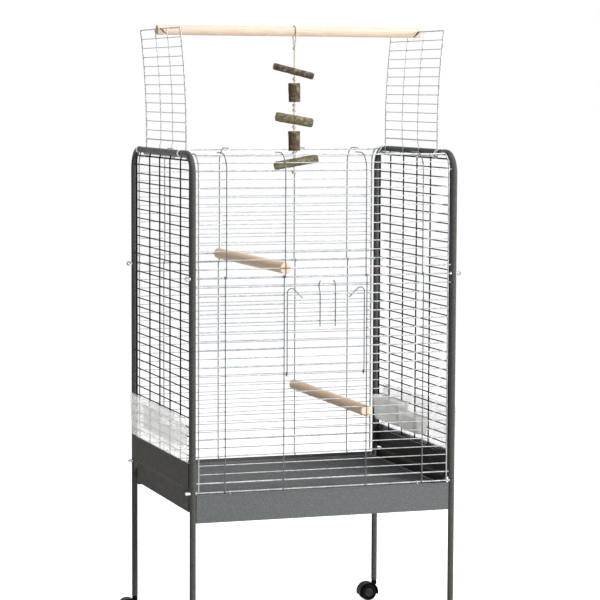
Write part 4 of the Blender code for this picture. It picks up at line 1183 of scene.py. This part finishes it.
@dataclass
class RoofFlap:
    """One roof flap, the rod that it turns on and the two clips that hold the rod."""

    hand: Hand
    pitch: float = 0.0255
    rows: int = 13
    first_z: float = 1.4008
    rail_y: float = 0.201
    uprights_y: Pair = (-0.060, 0.060)
    edge_rows: tuple[int, int] = (0, 12)
    hook_radius: float = 0.0048
    hook_sweep: float = 250.0
    hook_steps: int = 16
    jog_drops: Pair = (0.014, 0.006)
    flare_start_z: float = 1.4263
    flare_depth: float = 0.017
    flare_steps: int = 10
    rod_y: Pair = (-0.212, 0.247)
    clips_y: Pair = (-0.188, 0.235)
    clip_width: float = 0.012
    clip_wall: float = 0.0016
    weld_radius: float = 0.0021

    @property
    def rise(self) -> float:
        """Return how high the top row is over the start of the flare."""
        return self.first_z + (self.rows - 1) * self.pitch - self.flare_start_z

    def flare(self, z: float) -> float:
        """Return how far the flap leans outward at a height."""
        share = max(0.0, (z - self.flare_start_z) / self.rise)
        return self.flare_depth * share * share

    def route(self, line: Sequence[Pair], y: float, plane: float) -> list[Triple]:
        """Lead a wire along a line and then up the leaning flap.

        Args:
            line: Its first (x, z) points, as on the right flap.
            y: Its place along the flap.
            plane: Its distance from the middle of the cage where the flap is upright.

        Returns:
            The wire's points.
        """
        steps = range(self.flare_steps + 1)
        heights = [self.flare_start_z + self.rise * step / self.flare_steps for step in steps]
        leaning = [(plane + self.flare(z), z) for z in heights]
        return [(self.hand * x, y, z) for x, z in [*line, *leaning]]

    def build(self) -> None:
        """Build the flap, its rod and its clips."""
        self.flap()
        self.rod()
        for place, y in zip(End, self.clips_y):
            self.clip(place, y)

    def flap(self) -> None:
        """Weld the flap's rows to the uprights that loop round the rod."""
        outer = CAGE.flap_hinge_x + self.hook_radius
        inner = outer - CAGE.layer
        out = Vector((self.hand, 0.0, 0.0))
        sketch = Sketch()
        for index in range(self.rows):
            z = self.first_z + index * self.pitch
            x = outer + self.flare(z)
            gauge = Gauge.EDGE if index in self.edge_rows else Gauge.ROW
            sketch.wire([(self.hand * x, y, z) for y in (-self.rail_y, self.rail_y)], gauge)
            for y in self.uprights_y:
                sketch.weld((self.hand * (x - CAGE.layer / 2), y, z), out, self.weld_radius)
        hinge = (CAGE.flap_hinge_x, CAGE.flap_hinge_z)
        loop = arc(hinge, self.hook_radius, -self.hook_sweep, self.hook_sweep, self.hook_steps)
        for y in (-self.rail_y, self.rail_y):
            sketch.wire(self.route(loop, y, outer), Gauge.RAIL, sides=12)
        jog = [(x, self.first_z - drop) for x, drop in zip((outer, inner), self.jog_drops)]
        for y in self.uprights_y:
            sketch.wire(self.route(loop + jog, y, inner), Gauge.UPRIGHT)
        node = f"{self.hand.word}_roof_flap"
        sketch.put(f"{node}_wires", [ZINC], "zinc_wire", f"{self.hand.word}_flap", node)

    def rod(self) -> None:
        """Make the rod under the top bar."""
        sketch = Sketch()
        route = [(self.hand * CAGE.flap_hinge_x, y, CAGE.flap_hinge_z) for y in self.rod_y]
        sketch.wire(route, Gauge.ROD, sides=14)
        node = f"{self.hand.word}_hinge_rod"
        sketch.put(f"{node}_wire", [ZINC], "zinc_wire", node=node)

    def clip(self, place: End, y: float) -> None:
        """Bend a strap round the top bar and the rod.

        Args:
            place: Which of the flap's two clips this is.
            y: Its middle along the bar.
        """
        grip = CAGE.tube_radius + 2 * CAGE.fit
        eye = Gauge.ROD + 2 * CAGE.fit
        bar = (CAGE.side_x, CAGE.top_bar_z)
        rod = (CAGE.flap_hinge_x, CAGE.flap_hinge_z)
        along = Vector((rod[0] - bar[0], rod[1] - bar[1]))
        lean = degrees(atan2(along.y, along.x)) + 360.0
        spread = degrees(acos((grip - eye) / along.length))
        profile = arc(bar, grip, lean + spread, 360.0 - 2 * spread, 28)
        profile += arc(rod, eye, lean - spread, 2 * spread, 10)
        strap = [(self.hand * x, z) for x, z in thickened(profile, 0.0, -self.clip_wall)]
        sketch = Sketch()
        sketch.extrude(strap, y - 0.5 * self.clip_width, y + 0.5 * self.clip_width, Axis.Y)
        node = f"{self.hand.word}_{place.word}_clip"
        sketch.put(f"{node}_strap", [WHITE_ZINC], "zinc_wire", node=node)


def dowel(length: float, radius: float, axis: Axis, sides: int = 40, chamfer: float = 0.0012) -> Sketch:
    """Turn a round perch with chamfered ends, around its own middle.

    Args:
        length: Its whole length.
        radius: Its radius.
        axis: The axis that it lies along.
        sides: Faces round it.
        chamfer: Width of the chamfers.

    Returns:
        Its sides with finish number 0 and its ends with number 1.
    """
    ends = (-length / 2, -length / 2 + chamfer, length / 2 - chamfer, length / 2)
    rings = []
    for height, girth in zip(ends, (radius - chamfer, radius, radius, radius - chamfer)):
        circle = arc((0.0, 0.0), girth, 0.0, 360.0 * (sides - 1) / sides, sides - 1)
        rings.append([lifted(spot, height, axis) for spot in circle])
    sketch = Sketch()
    sketch.skin(rings, cap=1)
    return sketch


@dataclass
class Perches:
    """The three perches: one across the roof flaps and two between the grilles."""

    top_length: float = 0.781
    notch_width: float = 0.0050
    notch_slope: float = radians(46.0)
    notch_depth_y: float = 0.02
    seat_x: float = 0.38125
    seat_z: float = 1.7068
    inner_radius: float = 0.0155
    inner: tuple[tuple[str, float, float], ...] = (("upper_perch", -0.116, 1), ("lower_perch", 0.119, -15.5))
    past_wire: float = 0.003
    play: float = 0.002
    overcut: float = 0.0001

    def build(self) -> None:
        """Turn and slot the three perches."""
        self.top()
        for node, x, rows in self.inner:
            self.between_grilles(node, x, CAGE.row_z(rows))

    def top(self) -> None:
        """Turn the top perch and saw its two slanting notches."""
        radius, height = CAGE.top_perch_radius, CAGE.top_perch_z
        sketch = dowel(self.top_length, radius, Axis.X)
        looks = [PERCH_ALONG_X, PERCH_END_X]
        perch = sketch.put("top_perch_dowel", looks, "beech", "perch", "top_perch", (0.0, 0.0, height))
        corner = (2 * radius, self.notch_depth_y, self.notch_width / 2)
        reach = 2 * radius - self.notch_width / 2
        cutters = []
        for hand in Hand:
            cutter = block(tuple(-size for size in corner), corner)
            turn = Matrix.Rotation(-hand * self.notch_slope, 4, "Y")
            x = hand * (self.seat_x - reach * cos(self.notch_slope))
            centre = Vector((x, 0.0, self.seat_z - height - reach * sin(self.notch_slope)))
            cutter.points = [centre + turn @ point for point in cutter.points]
            cutters.append(cutter)
        carve(perch, cutters)

    def between_grilles(self, node: str, x: float, z: float) -> None:
        """Turn one inside perch and slot its ends for the grille wires.

        Args:
            node: The solid that it takes the place of.
            x: Its place along the grilles.
            z: Its height.
        """
        end = CAGE.upright_y + self.past_wire
        sketch = dowel(2 * end, self.inner_radius, Axis.Y)
        looks = [PERCH_ALONG_Y, PERCH_END_Y]
        perch = sketch.put(f"{node}_dowel", looks, "beech", node=node, place=(x, 0.0, z))
        kerf = Gauge.UPRIGHT + CAGE.fit
        row_kerf = Gauge.EDGE + CAGE.fit
        reach = self.inner_radius + self.play
        depth = CAGE.row_y - Gauge.EDGE - CAGE.fit
        first = ceil((z - self.inner_radius - CAGE.middle_rod_z) / CAGE.row_pitch)
        last = floor((z + self.inner_radius - CAGE.middle_rod_z) / CAGE.row_pitch)
        cutters = []
        for side in End:
            near, far = sorted((side * depth, side * (end + self.play)))
            cutters.append(block((-kerf, near, -reach), (kerf, far, reach)))
            for index in range(first, last + 1):
                row_z = CAGE.row_z(index) - z
                low = (-reach, near - self.overcut, row_z - row_kerf)
                cutters.append(block(low, (reach, far + self.overcut, row_z + row_kerf)))
        carve(perch, cutters)


@dataclass
class Foot:
    """Sheet metal round the foot: skirts, runner bands, rear apron and the tray with its grille."""

    hem_radius: float = 0.0017
    apron_half: float = 0.3656
    apron_y: float = -0.3032
    apron_foot_z: float = 0.379
    apron_fold: float = 0.0062
    rear_foot_z: float = 0.392
    rear_lip: float = 0.010
    band_y: float = 0.264
    ear_x: float = 0.3655
    band_ears: tuple[Triple, ...] = ((0.3755, 0.4065, 0.4650), (0.3820, 0.4630, 0.4705))
    grille_half: float = 0.361
    grille_pitch: float = 0.016
    grille_front_y: float = -0.292
    grille_rows: int = 37
    ribs_x: tuple[float, ...] = (-0.250, 0.0, 0.250)
    grille_z: float = 0.44475
    rail_past: float = 0.004
    weld_radius: float = 0.0021

    def build(self) -> None:
        """Dress the sheet parts, roll the front edge and weld the floor grille."""
        for hand in Hand:
            for sheet in ("skirt", "runner_band"):
                # Painted shade: the skirts and runner bands wear the darker copy of the hammered paint.
                dress_solid(f"{hand.word}_{sheet}", HAMMERED_SHADED)
        dress_solid("tray", HAMMERED)
        self.front_edges()
        self.rear_sheet()
        self.band_ends()
        self.grille()

    def front_edges(self) -> None:
        """Roll the top edge of the tray's front sheet and fold its two ends back."""
        sketch = Sketch()
        z = CAGE.apron_top_z - 0.4 * self.hem_radius
        hem = [(hand * self.apron_half, self.apron_y, z) for hand in Hand]
        sketch.wire(hem, self.hem_radius, sides=12)
        back, top = self.apron_y + self.apron_fold, CAGE.apron_top_z - self.hem_radius
        for hand in Hand:
            outer = hand * self.apron_half
            near, far = sorted((outer, outer - hand * CAGE.sheet))
            sketch.plate((near, self.apron_y, self.apron_foot_z), (far, back, top))
        sketch.put("tray_front_edges", [HAMMERED], "hammered_sheet", "tray")

    def rear_sheet(self) -> None:
        """Make the fixed sheet between the rear legs, with a lip folded in at its foot."""
        sketch = Sketch()
        half, foot = CAGE.post_face_x, self.rear_foot_z
        outer = CAGE.post_y + CAGE.sheet / 2
        sketch.plate((-half, outer - CAGE.sheet, foot), (half, outer, CAGE.apron_top_z))
        sketch.plate((-half, CAGE.post_y - self.rear_lip, foot - CAGE.sheet), (half, outer, foot))
        sketch.put("rear_apron_sheet", [HAMMERED], "hammered_sheet", node="rear_apron")

    def band_ends(self) -> None:
        """Close each end of the runner bands with an ear folded in from the sheet."""
        for hand in Hand:
            sketch = Sketch()
            for end in End:
                near, far = sorted((end * self.band_y, end * (self.band_y - CAGE.sheet)))
                for reach, low, high in self.band_ears:
                    left, right = sorted((hand * self.ear_x, hand * reach))
                    sketch.plate((left, near, low), (right, far, high))
            # Painted shade: the band ears wear the darker copy of the hammered paint.
            sketch.put(f"{hand.word}_band_ears", [HAMMERED_SHADED], "hammered_sheet")

    def grille(self) -> None:
        """Weld the floor grille's rows to its rails and ribs."""
        sketch = Sketch()
        half, z, low = self.grille_half, self.grille_z, self.grille_z - CAGE.layer
        front, rear = self.grille_front_y, self.grille_front_y + (self.grille_rows - 1) * self.grille_pitch
        for index in range(self.grille_rows):
            y = front + index * self.grille_pitch
            gauge = Gauge.EDGE if index in (0, self.grille_rows - 1) else Gauge.ROW
            sketch.wire([(-half, y, z), (half, y, z)], gauge)
            for x in self.ribs_x:
                sketch.weld((x, y, z - CAGE.layer / 2), UP, self.weld_radius)
        for x in (-half, half):
            rail = [(x, front - self.rail_past, z), (x, rear + self.rail_past, z)]
            sketch.wire(rail, Gauge.RAIL, sides=12)
        for x in self.ribs_x:
            sketch.wire([(x, front - Gauge.EDGE, low), (x, rear + Gauge.EDGE, low)], Gauge.UPRIGHT)
        sketch.put("floor_grille_wires", [FLOOR_WIRE], "floor_wire", "floor_grille", "floor_grille")


@dataclass
class FeederCup:
    """A clear cup with rounded corners and a lip, hooked on a wire of the side mesh."""

    hand: Hand
    end: End
    span: Pair
    hook_row: int
    foot_z: float
    mouth_depth: float = 0.041
    floor_depth: float = 0.034
    wall: float = 0.0022
    lip: float = 0.0008
    fillet: float = 0.003
    taper: float = 0.006
    corner: float = 0.008
    hook_half: float = 0.004
    hook_thick: float = 0.0010
    hook_bend: float = 0.0015
    hook_inset: float = 0.020
    hook_drop: float = 0.0040

    @property
    def back(self) -> float:
        """Return the distance of the cup's back from the middle of the cage."""
        return CAGE.side_x - Gauge.ROW - CAGE.fit

    def section(self, share: float, inset: float, z: float) -> list[Vector]:
        """Outline the cup at one height.

        Args:
            share: 0 at the foot and 1 at the mouth.
            inset: How far inside the outer face.
            z: Height of the section.

        Returns:
            The section's points.
        """
        depth = self.floor_depth + (self.mouth_depth - self.floor_depth) * share
        taper = self.taper * (1.0 - share) + inset
        low = (self.back - depth + inset, self.span[0] + taper)
        high = (self.back - inset, self.span[1] - taper)
        outline = rounded_oblong(low, high, self.corner - inset)
        return [Vector((self.hand * x, y, z)) for x, y in outline]

    def build(self) -> None:
        """Form the cup's shell, then its two hooks."""
        wire_z = CAGE.mesh_top_z - self.hook_row * CAGE.mesh_pitch
        seat = wire_z + Gauge.ROW + CAGE.fit
        top = seat + 2 * self.hook_thick
        wall, fillet = self.wall, self.fillet
        inside = self.foot_z + wall
        sections = (
            (0.0, fillet, self.foot_z),
            (0.0, 0.3 * fillet, self.foot_z + 0.3 * fillet),
            (0.06, 0.0, self.foot_z + fillet),
            (1.0, 0.0, top - self.lip),
            (1.0, 0.0006, top),
            (1.0, wall - 0.0004, top),
            (1.0, wall, top - self.lip),
            (0.06, wall, inside + fillet),
            (0.0, wall + 0.4 * fillet, inside + 0.3 * fillet),
            (0.0, wall + fillet, inside),
        )
        sketch = Sketch()
        sketch.skin([self.section(*section) for section in sections])
        inner = 2 * Gauge.ROW + 4 * CAGE.fit
        outer = inner + wall
        over, level = self.back + (inner + outer) / 2, seat + self.hook_thick
        route = [(self.back - 0.0006, level), (over, level), (over, wire_z - self.hook_drop)]
        outline = thickened(rounded(route, self.hook_bend), -self.hook_thick, self.hook_thick)
        hook = [(self.hand * x, z) for x, z in outline]
        for y in (self.span[0] + self.hook_inset, self.span[1] - self.hook_inset):
            sketch.extrude(hook, y - self.hook_half, y + self.hook_half, Axis.Y)
        name = f"{self.hand.word}_{self.end.word}_cup"
        sketch.put(f"{name}_shell", [CLEAR], "clear_plastic", name, name)


@dataclass
class SeedGuard:
    """A clear guard hooked over a skirt's edge and leaning outward."""

    hand: Hand
    span: Pair = (-0.290, 0.282)
    top_z: float = 0.665
    top_x: float = 0.3930
    foot_z: float = 0.526
    thickness: float = 0.0020
    skirt_top_z: float = 0.540
    fold_radius: float = 0.0012
    fold_steps: int = 4
    corner: float = 0.008
    corner_steps: int = 5

    def build(self) -> None:
        """Bend the sheet over the skirt's edge, with rounded upper corners."""
        skirt_x = CAGE.side_x + CAGE.tube_radius + CAGE.fit
        inner = skirt_x - CAGE.fit - self.thickness
        edge = self.skirt_top_z + CAGE.fit
        route = [
            (self.top_x - self.thickness, self.top_z),
            (skirt_x + CAGE.sheet, edge + 1.7 * self.thickness),
            (inner, edge + 1.2 * self.thickness),
            (inner, self.foot_z),
        ]
        folded = rounded(route, self.fold_radius, steps=self.fold_steps)
        outline = thickened(folded, 0.0, self.thickness)
        rings = []
        for drop, y in self.stations():
            rings.append([(self.hand * x, y, min(z, self.top_z - drop)) for x, z in outline])
        sketch = Sketch()
        sketch.skin(rings)
        node = f"{self.hand.word}_seed_guard"
        sketch.put(f"{node}_sheet", [MILKY], "clear_plastic", f"{self.hand.word}_guard", node)

    def stations(self) -> list[Pair]:
        """Step along the guard, lower at its rounded ends.

        Returns:
            Pairs of how far the top is lowered and the place along Y.
        """
        turns = [radians(90.0 * step / self.corner_steps) for step in range(self.corner_steps + 1)]
        rise = [(self.corner * (1 - sin(turn)), self.corner * (1 - cos(turn))) for turn in turns]
        near = [(drop, self.span[0] + along) for drop, along in rise]
        far = [(drop, self.span[1] - along) for drop, along in reversed(rise)]
        return near + far


@dataclass
class RailHook:
    """A small wire hook on the front floor rod, with its tail over the tray's edge."""

    hand: Hand
    x: float = 0.272
    reach: float = 0.0090

    def build(self) -> None:
        """Bend the ring and lead out the tail."""
        radius = Gauge.ROD + Gauge.HOOK + 2 * CAGE.fit
        line = arc((-CAGE.post_y, CAGE.floor_rod_z), radius, -40.0, 290.0, 24)
        line.append((-CAGE.post_y - self.reach, CAGE.apron_top_z + 1.4 * Gauge.HOOK + CAGE.fit))
        sketch = Sketch()
        sketch.wire([(self.hand * self.x, y, z) for y, z in line], Gauge.HOOK, sides=10)
        name = f"{self.hand.word}_rail_hook"
        sketch.put(f"{name}_wire", [WHITE_ZINC], "zinc_wire", name, name)


@dataclass
class Caster:
    """A twin-wheel caster: arched hood with a web, swivel stem, tyres and hub caps."""

    end: End
    hand: Hand
    trail: float
    wheel_radius: float = 0.025
    wheel_half: float = 0.0155
    web_half: float = 0.0033
    web_foot: float = 0.0058
    hood_radius: float = 0.030
    hood_wall: float = 0.0026
    hood_half: float = 0.017
    hood_foot_z: float = 0.018
    lip: float = 0.0008
    boss_radius: float = 0.0080
    boss_rise: float = 0.021
    stem_radius: float = 0.004
    stem_top_z: float = 0.086
    plug_flange: float = 0.0022
    hub_radius: float = 0.0135
    axle_radius: float = 0.0050

    @property
    def axle(self) -> Triple:
        """Return the middle of the axle."""
        return self.hand * CAGE.side_x + self.trail, self.end * CAGE.post_y, self.wheel_radius

    def build(self) -> None:
        """Build the hood with its stem, then the wheels."""
        self.hood()
        self.wheels()

    def hood(self) -> None:
        """Sweep the arch over the wheels and add its web, boss and stem."""
        sketch = Sketch()
        outer, half, lip = self.hood_radius, self.hood_half, self.lip
        inner = outer - self.hood_wall
        foot = degrees(asin((self.hood_foot_z - self.wheel_radius) / outer))
        arch = [
            (inner, -half),
            (outer - lip, -half),
            (outer, -half + lip),
            (outer, 0.0),
            (outer, half - lip),
            (outer - lip, half),
            (inner, half),
        ]
        sketch.turned(arch, self.axle, Axis.Y, sides=40, start=foot, sweep=180.0 - 2 * foot)
        web = oblong(self.web_foot, inner + 0.0005, -self.web_half, self.web_half)
        sketch.turned(web, self.axle, Axis.Y, sides=40, start=foot * 1.1, sweep=180.0 - 2.2 * foot)
        corner = (self.hand * CAGE.side_x, self.end * CAGE.post_y, 0.0)
        top = CAGE.leg_end_z - 2 * CAGE.fit - self.plug_flange
        low = self.wheel_radius + self.boss_rise
        wide = self.boss_radius
        boss = [(0.0, low), (wide, low), (wide, top - lip), (wide - lip, top), (0.0, top)]
        sketch.turned(boss, corner, sides=28)
        stem = oblong(0.0, self.stem_radius, top - 0.001, self.stem_top_z)
        sketch.turned(stem, corner, sides=16, number=1)
        node = f"{self.end.word}_{self.hand.word}_caster"
        sketch.put(f"{node}_hood", [BLACK_PLASTIC, WHITE_ZINC], "black_plastic", node, node)

    def wheels(self) -> None:
        """Turn the two wheels on their axle, each with a grooved tyre and a hub cap."""
        inner = self.web_half + CAGE.fit
        rim, hub, half = self.wheel_radius, self.hub_radius, self.wheel_half
        tyre = [
            (0.0, inner),
            (rim - 0.0015, inner),
            (rim, inner + 0.0015),
            (rim, 0.0088),
            (rim - 0.0007, 0.0094),
            (rim, 0.0100),
            (rim, half - 0.0028),
            (rim - 0.0012, half - 0.0010),
            (rim - 0.0036, half - 0.0002),
            (hub + 0.0022, half - 0.0006),
            (hub + 0.0012, half - 0.0024),
            (0.0, half - 0.0024),
        ]
        cap = [
            (0.0, half - 0.0030),
            (hub, half - 0.0030),
            (hub, half - 0.0012),
            (hub - 0.0010, half - 0.0003),
            (hub - 0.0045, half - 0.0001),
            (hub - 0.0052, half - 0.0010),
            (0.0040, half - 0.0010),
            (0.0034, half),
            (0.0, half),
        ]
        sketch = Sketch()
        for sign in (-1, 1):
            sketch.turned(tyre, axis=Axis.Y, sides=48, sign=sign)
            sketch.turned(cap, axis=Axis.Y, sides=32, number=1, sign=sign)
        axle = oblong(0.0, self.axle_radius, -inner - 0.001, inner + 0.001)
        sketch.turned(axle, axis=Axis.Y, sides=20, number=2)
        node = f"{self.end.word}_{self.hand.word}_wheels"
        looks = [TYRE, HUB_PLASTIC, WHITE_ZINC]
        sketch.put(f"{node}_pair", looks, "black_plastic", node, node, self.axle)


@dataclass(frozen=True)
class Branch:
    """One stick or log of the toy: the (x, z) of its ends, its radius and its bark."""

    node: str
    first: Pair
    second: Pair
    radius: float
    bark: Bark
    end: CutEnd


BRANCHES = (
    Branch("toy_stick_top", (-0.050, 1.607), (0.066, 1.579), 0.0100, STICK_BARK, BRANCH_END),
    Branch("toy_log_upper", (0.0105, 1.560), (0.0115, 1.507), 0.0175, LOG_BARK, LOG_END),
    Branch("toy_stick_middle", (-0.042, 1.466), (0.064, 1.448), 0.0135, OLIVE_BARK, BRANCH_END),
    Branch("toy_log_lower", (0.0105, 1.425), (0.0115, 1.370), 0.0175, LOG_BARK, LOG_END),
    Branch("toy_stick_bottom", (-0.046, 1.327), (0.080, 1.348), 0.0125, OLIVE_BARK, BRANCH_END),
)


@dataclass
class HangingToy:
    """The chewing toy: a twisted rope looped over the top perch, with knots, sticks and logs."""

    x: float = 0.011
    rope_radius: float = 0.0022
    neck_z: float = 1.658
    neck_half: float = 0.0030
    end_z: float = 1.303
    neck_knot: float = 0.0046
    small_knot: float = 0.0048
    end_knot: float = 0.0062
    knots_z: tuple[float, ...] = (1.5705, 1.497, 1.4835, 1.4365, 1.3625)
    knot_steps: int = 48
    strands: int = 3
    lay_length: float = 0.014
    rope_step: float = 0.0015
    strand_out: float = 0.50
    strand_girth: float = 0.56
    branch_sides: int = 28
    branch_rings: int = 26
    branch_girth: float = 0.95
    coarse_bark: float = 0.055
    fine_bark: float = 0.030
    bark_scale: Triple = (1.6, 55.0, 3.3)
    worn_edge: float = 0.0006

    def build(self) -> None:
        """Lay the rope, tie its knots and hang the wood on it."""
        knots = self.knots()
        self.rope([knots, *(self.branch(item) for item in BRANCHES)])

    def route(self) -> list[Vector]:
        """Lead the rope up from its neck, over the perch, back and down to the end knot.

        Returns:
            Closely spaced points of the rope's middle.
        """
        grip = CAGE.top_perch_radius + self.rope_radius + 3 * CAGE.fit
        start_z = self.neck_z + self.neck_half
        line = [
            (self.neck_half, start_z),
            *arc((0.0, CAGE.top_perch_z), grip, -25.0, 230.0, 24),
            (-self.neck_half, start_z),
            (-0.2 * self.neck_half, self.neck_z - 0.006),
            (0.0, self.neck_z - 0.016),
            (0.0, self.end_z + self.end_knot),
        ]
        coarse = rounded([(self.x, y, z) for y, z in line], 0.008, steps=4)
        fine = [coarse[0]]
        for before, after in zip(coarse, coarse[1:]):
            steps = max(1, ceil((after - before).length / self.rope_step))
            fine += [before.lerp(after, step / steps) for step in range(1, steps + 1)]
        return fine

    def rope(self, pieces: Sequence[Object]) -> None:
        """Args:
            pieces: Not used.
        """
        line = self.route()
        frames = framed(line)
        sketch = Sketch()
        travel = 0.0
        turns = []
        for before, after in zip([line[0], *line], line):
            travel += (after - before).length
            turns.append(tau * travel / self.lay_length)
        for strand in range(self.strands):
            start = tau * strand / self.strands
            middle = []
            for point, cross, turn in zip(line, frames, turns):
                middle.append(around(point, self.strand_out * self.rope_radius, start + turn, cross))
            sketch.wire(middle, self.strand_girth * self.rope_radius, sides=7)
        rope = sketch.put("toy_rope_strands", [ROPE], "rope", "toy", "toy_rope")

    def knot(self, sketch: Sketch, z: float, size: float) -> None:
        """Tie one overhand knot round the rope.

        Args:
            sketch: Where the knot goes.
            z: Height of its middle.
            size: How far it stands out.
        """
        points = []
        for step in range(self.knot_steps + 1):
            turn = tau * step / self.knot_steps
            swell = size * (0.62 + 0.30 * cos(3 * turn))
            x, y = self.x + swell * cos(2 * turn), swell * sin(2 * turn)
            points.append((x, y, z + 0.55 * size * sin(3 * turn)))
        sketch.wire(points, 0.40 * size)

    def knots(self) -> Object:
        """Tie the neck, the knots under the pieces and the end knot.

        Returns:
            The piece that holds all the knots.
        """
        sketch = Sketch()
        self.knot(sketch, self.neck_z - 0.002, self.neck_knot)
        for z in self.knots_z:
            self.knot(sketch, z, self.small_knot)
        self.knot(sketch, self.end_z + self.end_knot, self.end_knot)
        return sketch.put("toy_knots", [ROPE], "rope", "toy")

    def branch(self, item: Branch) -> Object:
        """Grow one stick or log with uneven bark and sawn ends.

        Args:
            item: The piece's ends, radius and finishes.

        Returns:
            The new piece.
        """
        first, second = lifted(item.first, 0.0, Axis.Y), lifted(item.second, 0.0, Axis.Y)
        middle = (first + second) / 2
        along = second - first
        across, over = framed([first, second])[0]
        seed = Vector((item.first[0] * 90.0, 3.0, item.first[1] * 7.0))
        round_scale, long_scale, finer = self.bark_scale
        rings = []
        for ring_number in range(self.branch_rings + 1):
            share = ring_number / self.branch_rings
            worn = max(0.0, self.worn_edge - min(share, 1.0 - share) * along.length)
            ring = []
            for side in range(self.branch_sides):
                turn = tau * side / self.branch_sides
                out = cos(turn) * across + sin(turn) * over
                spot = seed + out * round_scale + along.normalized() * share * along.length * long_scale
                coarse = self.coarse_bark * noise.noise(spot)
                swell = coarse + self.fine_bark * noise.noise(spot * finer)
                girth = item.radius * (self.branch_girth + swell) - worn
                ring.append(first + along * share - middle + girth * out)
            rings.append(ring)
        sketch = Sketch()
        sketch.skin(rings, cap=1)
        looks = [item.bark, item.end]
        return sketch.put(f"{item.node}_wood", looks, "bark_wood", "toy", item.node, tuple(middle))


@dataclass
class Studio:
    """A plain white studio: camera at the picture's angle, pale floor and soft lamps."""

    picture: int = 600
    focal_pixels: float = 2374.641
    sensor: float = 36.0
    camera_place: Triple = (-2.15613, -6.35035, 1.54210)
    yaw: float = radians(19.0)
    pitch: float = radians(5.066)
    roll: float = radians(0.245)
    world_level: float = 0.22
    background_level: float = 1.0
    floor_colour: str = "#f2f2f1"
    floor_glow: float = 0.80
    floor_half: float = 9.0
    lamp_aim: Triple = (0.0, 0.0, 0.9)
    lamps: tuple[tuple[str, Triple, float, float], ...] = (
        ("overhead_softbox", (0.6, -0.6, 4.2), 2.4, 76.0),
        ("front_right_softbox", (2.9, -4.8, 2.4), 1.4, 215.0),
        ("right_softbox", (4.4, -0.6, 1.8), 1.4, 80.0),
    )

    def build(self) -> None:
        """Set up everything that isn't part of the cage."""
        bpy.context.scene.view_settings.view_transform = "Standard"
        self.camera()
        self.world()
        self.floor()
        for lamp in self.lamps:
            self.lamp(*lamp)

    def camera(self) -> None:
        """Place the camera by its measured yaw, pitch and roll."""
        data = bpy.data.cameras.new("picture_camera")
        data.sensor_width = self.sensor
        data.lens = self.focal_pixels * self.sensor / self.picture
        data.clip_end = 100.0
        camera = linked("picture_camera", data)
        bpy.context.scene.camera = camera
        level = cos(self.pitch)
        ahead = Vector((sin(self.yaw) * level, cos(self.yaw) * level, -sin(self.pitch)))
        right = ahead.cross(UP).normalized()
        up = right.cross(ahead)
        rolled_right = right * cos(self.roll) + up * sin(self.roll)
        rolled_up = up * cos(self.roll) - right * sin(self.roll)
        turn = Matrix((rolled_right, rolled_up, -ahead)).transposed().to_4x4()
        camera.matrix_world = Matrix.Translation(self.camera_place) @ turn

    def world(self) -> None:
        """Light the scene evenly, and show white to the camera and in reflections."""
        world = bpy.data.worlds.new("studio_world")
        bpy.context.scene.world = world
        world.use_nodes = True
        nodes = Nodes(world.node_tree)
        ground = nodes.tree.nodes["Background"].inputs
        nodes.feed(ground["Color"], WHITE)
        nodes.feed(ground["Strength"], nodes.by_ray(self.world_level, self.background_level))

    def floor(self) -> None:
        """Lay a pale floor that shows white except in the cage's shadow."""
        mesh = bpy.data.meshes.new("studio_floor")
        half = self.floor_half
        mesh.from_pydata([(x, y, 0) for x, y in oblong(-half, half, -half, half)], [], [range(4)])
        linked("studio_floor", mesh)
        shading = Shading("studio_floor")
        shading.set({
            "Base Color": linear(self.floor_colour),
            "Roughness": 0.9,
            "Specular IOR Level": 0.0,
            "Emission Color": WHITE,
            "Emission Strength": shading.by_ray(0.0, self.floor_glow),
        })
        mesh.materials.append(shading.material)

    def lamp(self, name: str, place: Triple, size: float, power: float) -> None:
        """Hang one soft square lamp that looks at the cage.

        Args:
            name: The lamp's name.
            place: Where it hangs.
            size: Length of its sides.
            power: Its power in watts.
        """
        data = bpy.data.lights.new(name, "AREA")
        data.shape = "SQUARE"
        data.size = size
        data.energy = power
        lamp = linked(name, data)
        lamp.location = place
        lamp.rotation_euler = (Vector(self.lamp_aim) - Vector(place)).to_track_quat("-Z", "Y").to_euler()


@dataclass
class Aviary:
    """The whole cage, in the order in which its sub-assemblies are dressed."""

    trail: float = 0.021
    cups: tuple[tuple[Pair, int, float], ...] = (((-0.131, 0.013), 29, 0.565), ((0.014, 0.219), 28, 0.567))

    def sub_assemblies(self) -> list[object]:
        """List every sub-assembly, the rope first.

        Returns:
            Objects that each have a build method.
        """
        listed: list[object] = [HangingToy(), Perches(), FrontDoor(), Foot()]
        listed += [Grilles(end) for end in End]
        for hand in Hand:
            listed += [SideFrame(hand), SideMesh(hand), RoofFlap(hand), SeedGuard(hand), RailHook(hand)]
            for end, cup in zip(End, self.cups):
                forward = end is End.FRONT and hand is Hand.RIGHT
                listed.append(FeederCup(hand, end, *cup))
                listed.append(Caster(end, hand, self.trail if forward else -self.trail))
        return listed

    def build(self) -> None:
        """Dress every sub-assembly."""
        for part in self.sub_assemblies():
            part.build()
            log.info("%s is dressed", type(part).__name__)


def main() -> None:
    """Build the studio and the aviary."""
    logging.basicConfig(level=logging.INFO, format="%(name)s: %(message)s")
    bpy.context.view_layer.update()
    Studio().build()
    Aviary().build()


if __name__ == "__main__":
    main()
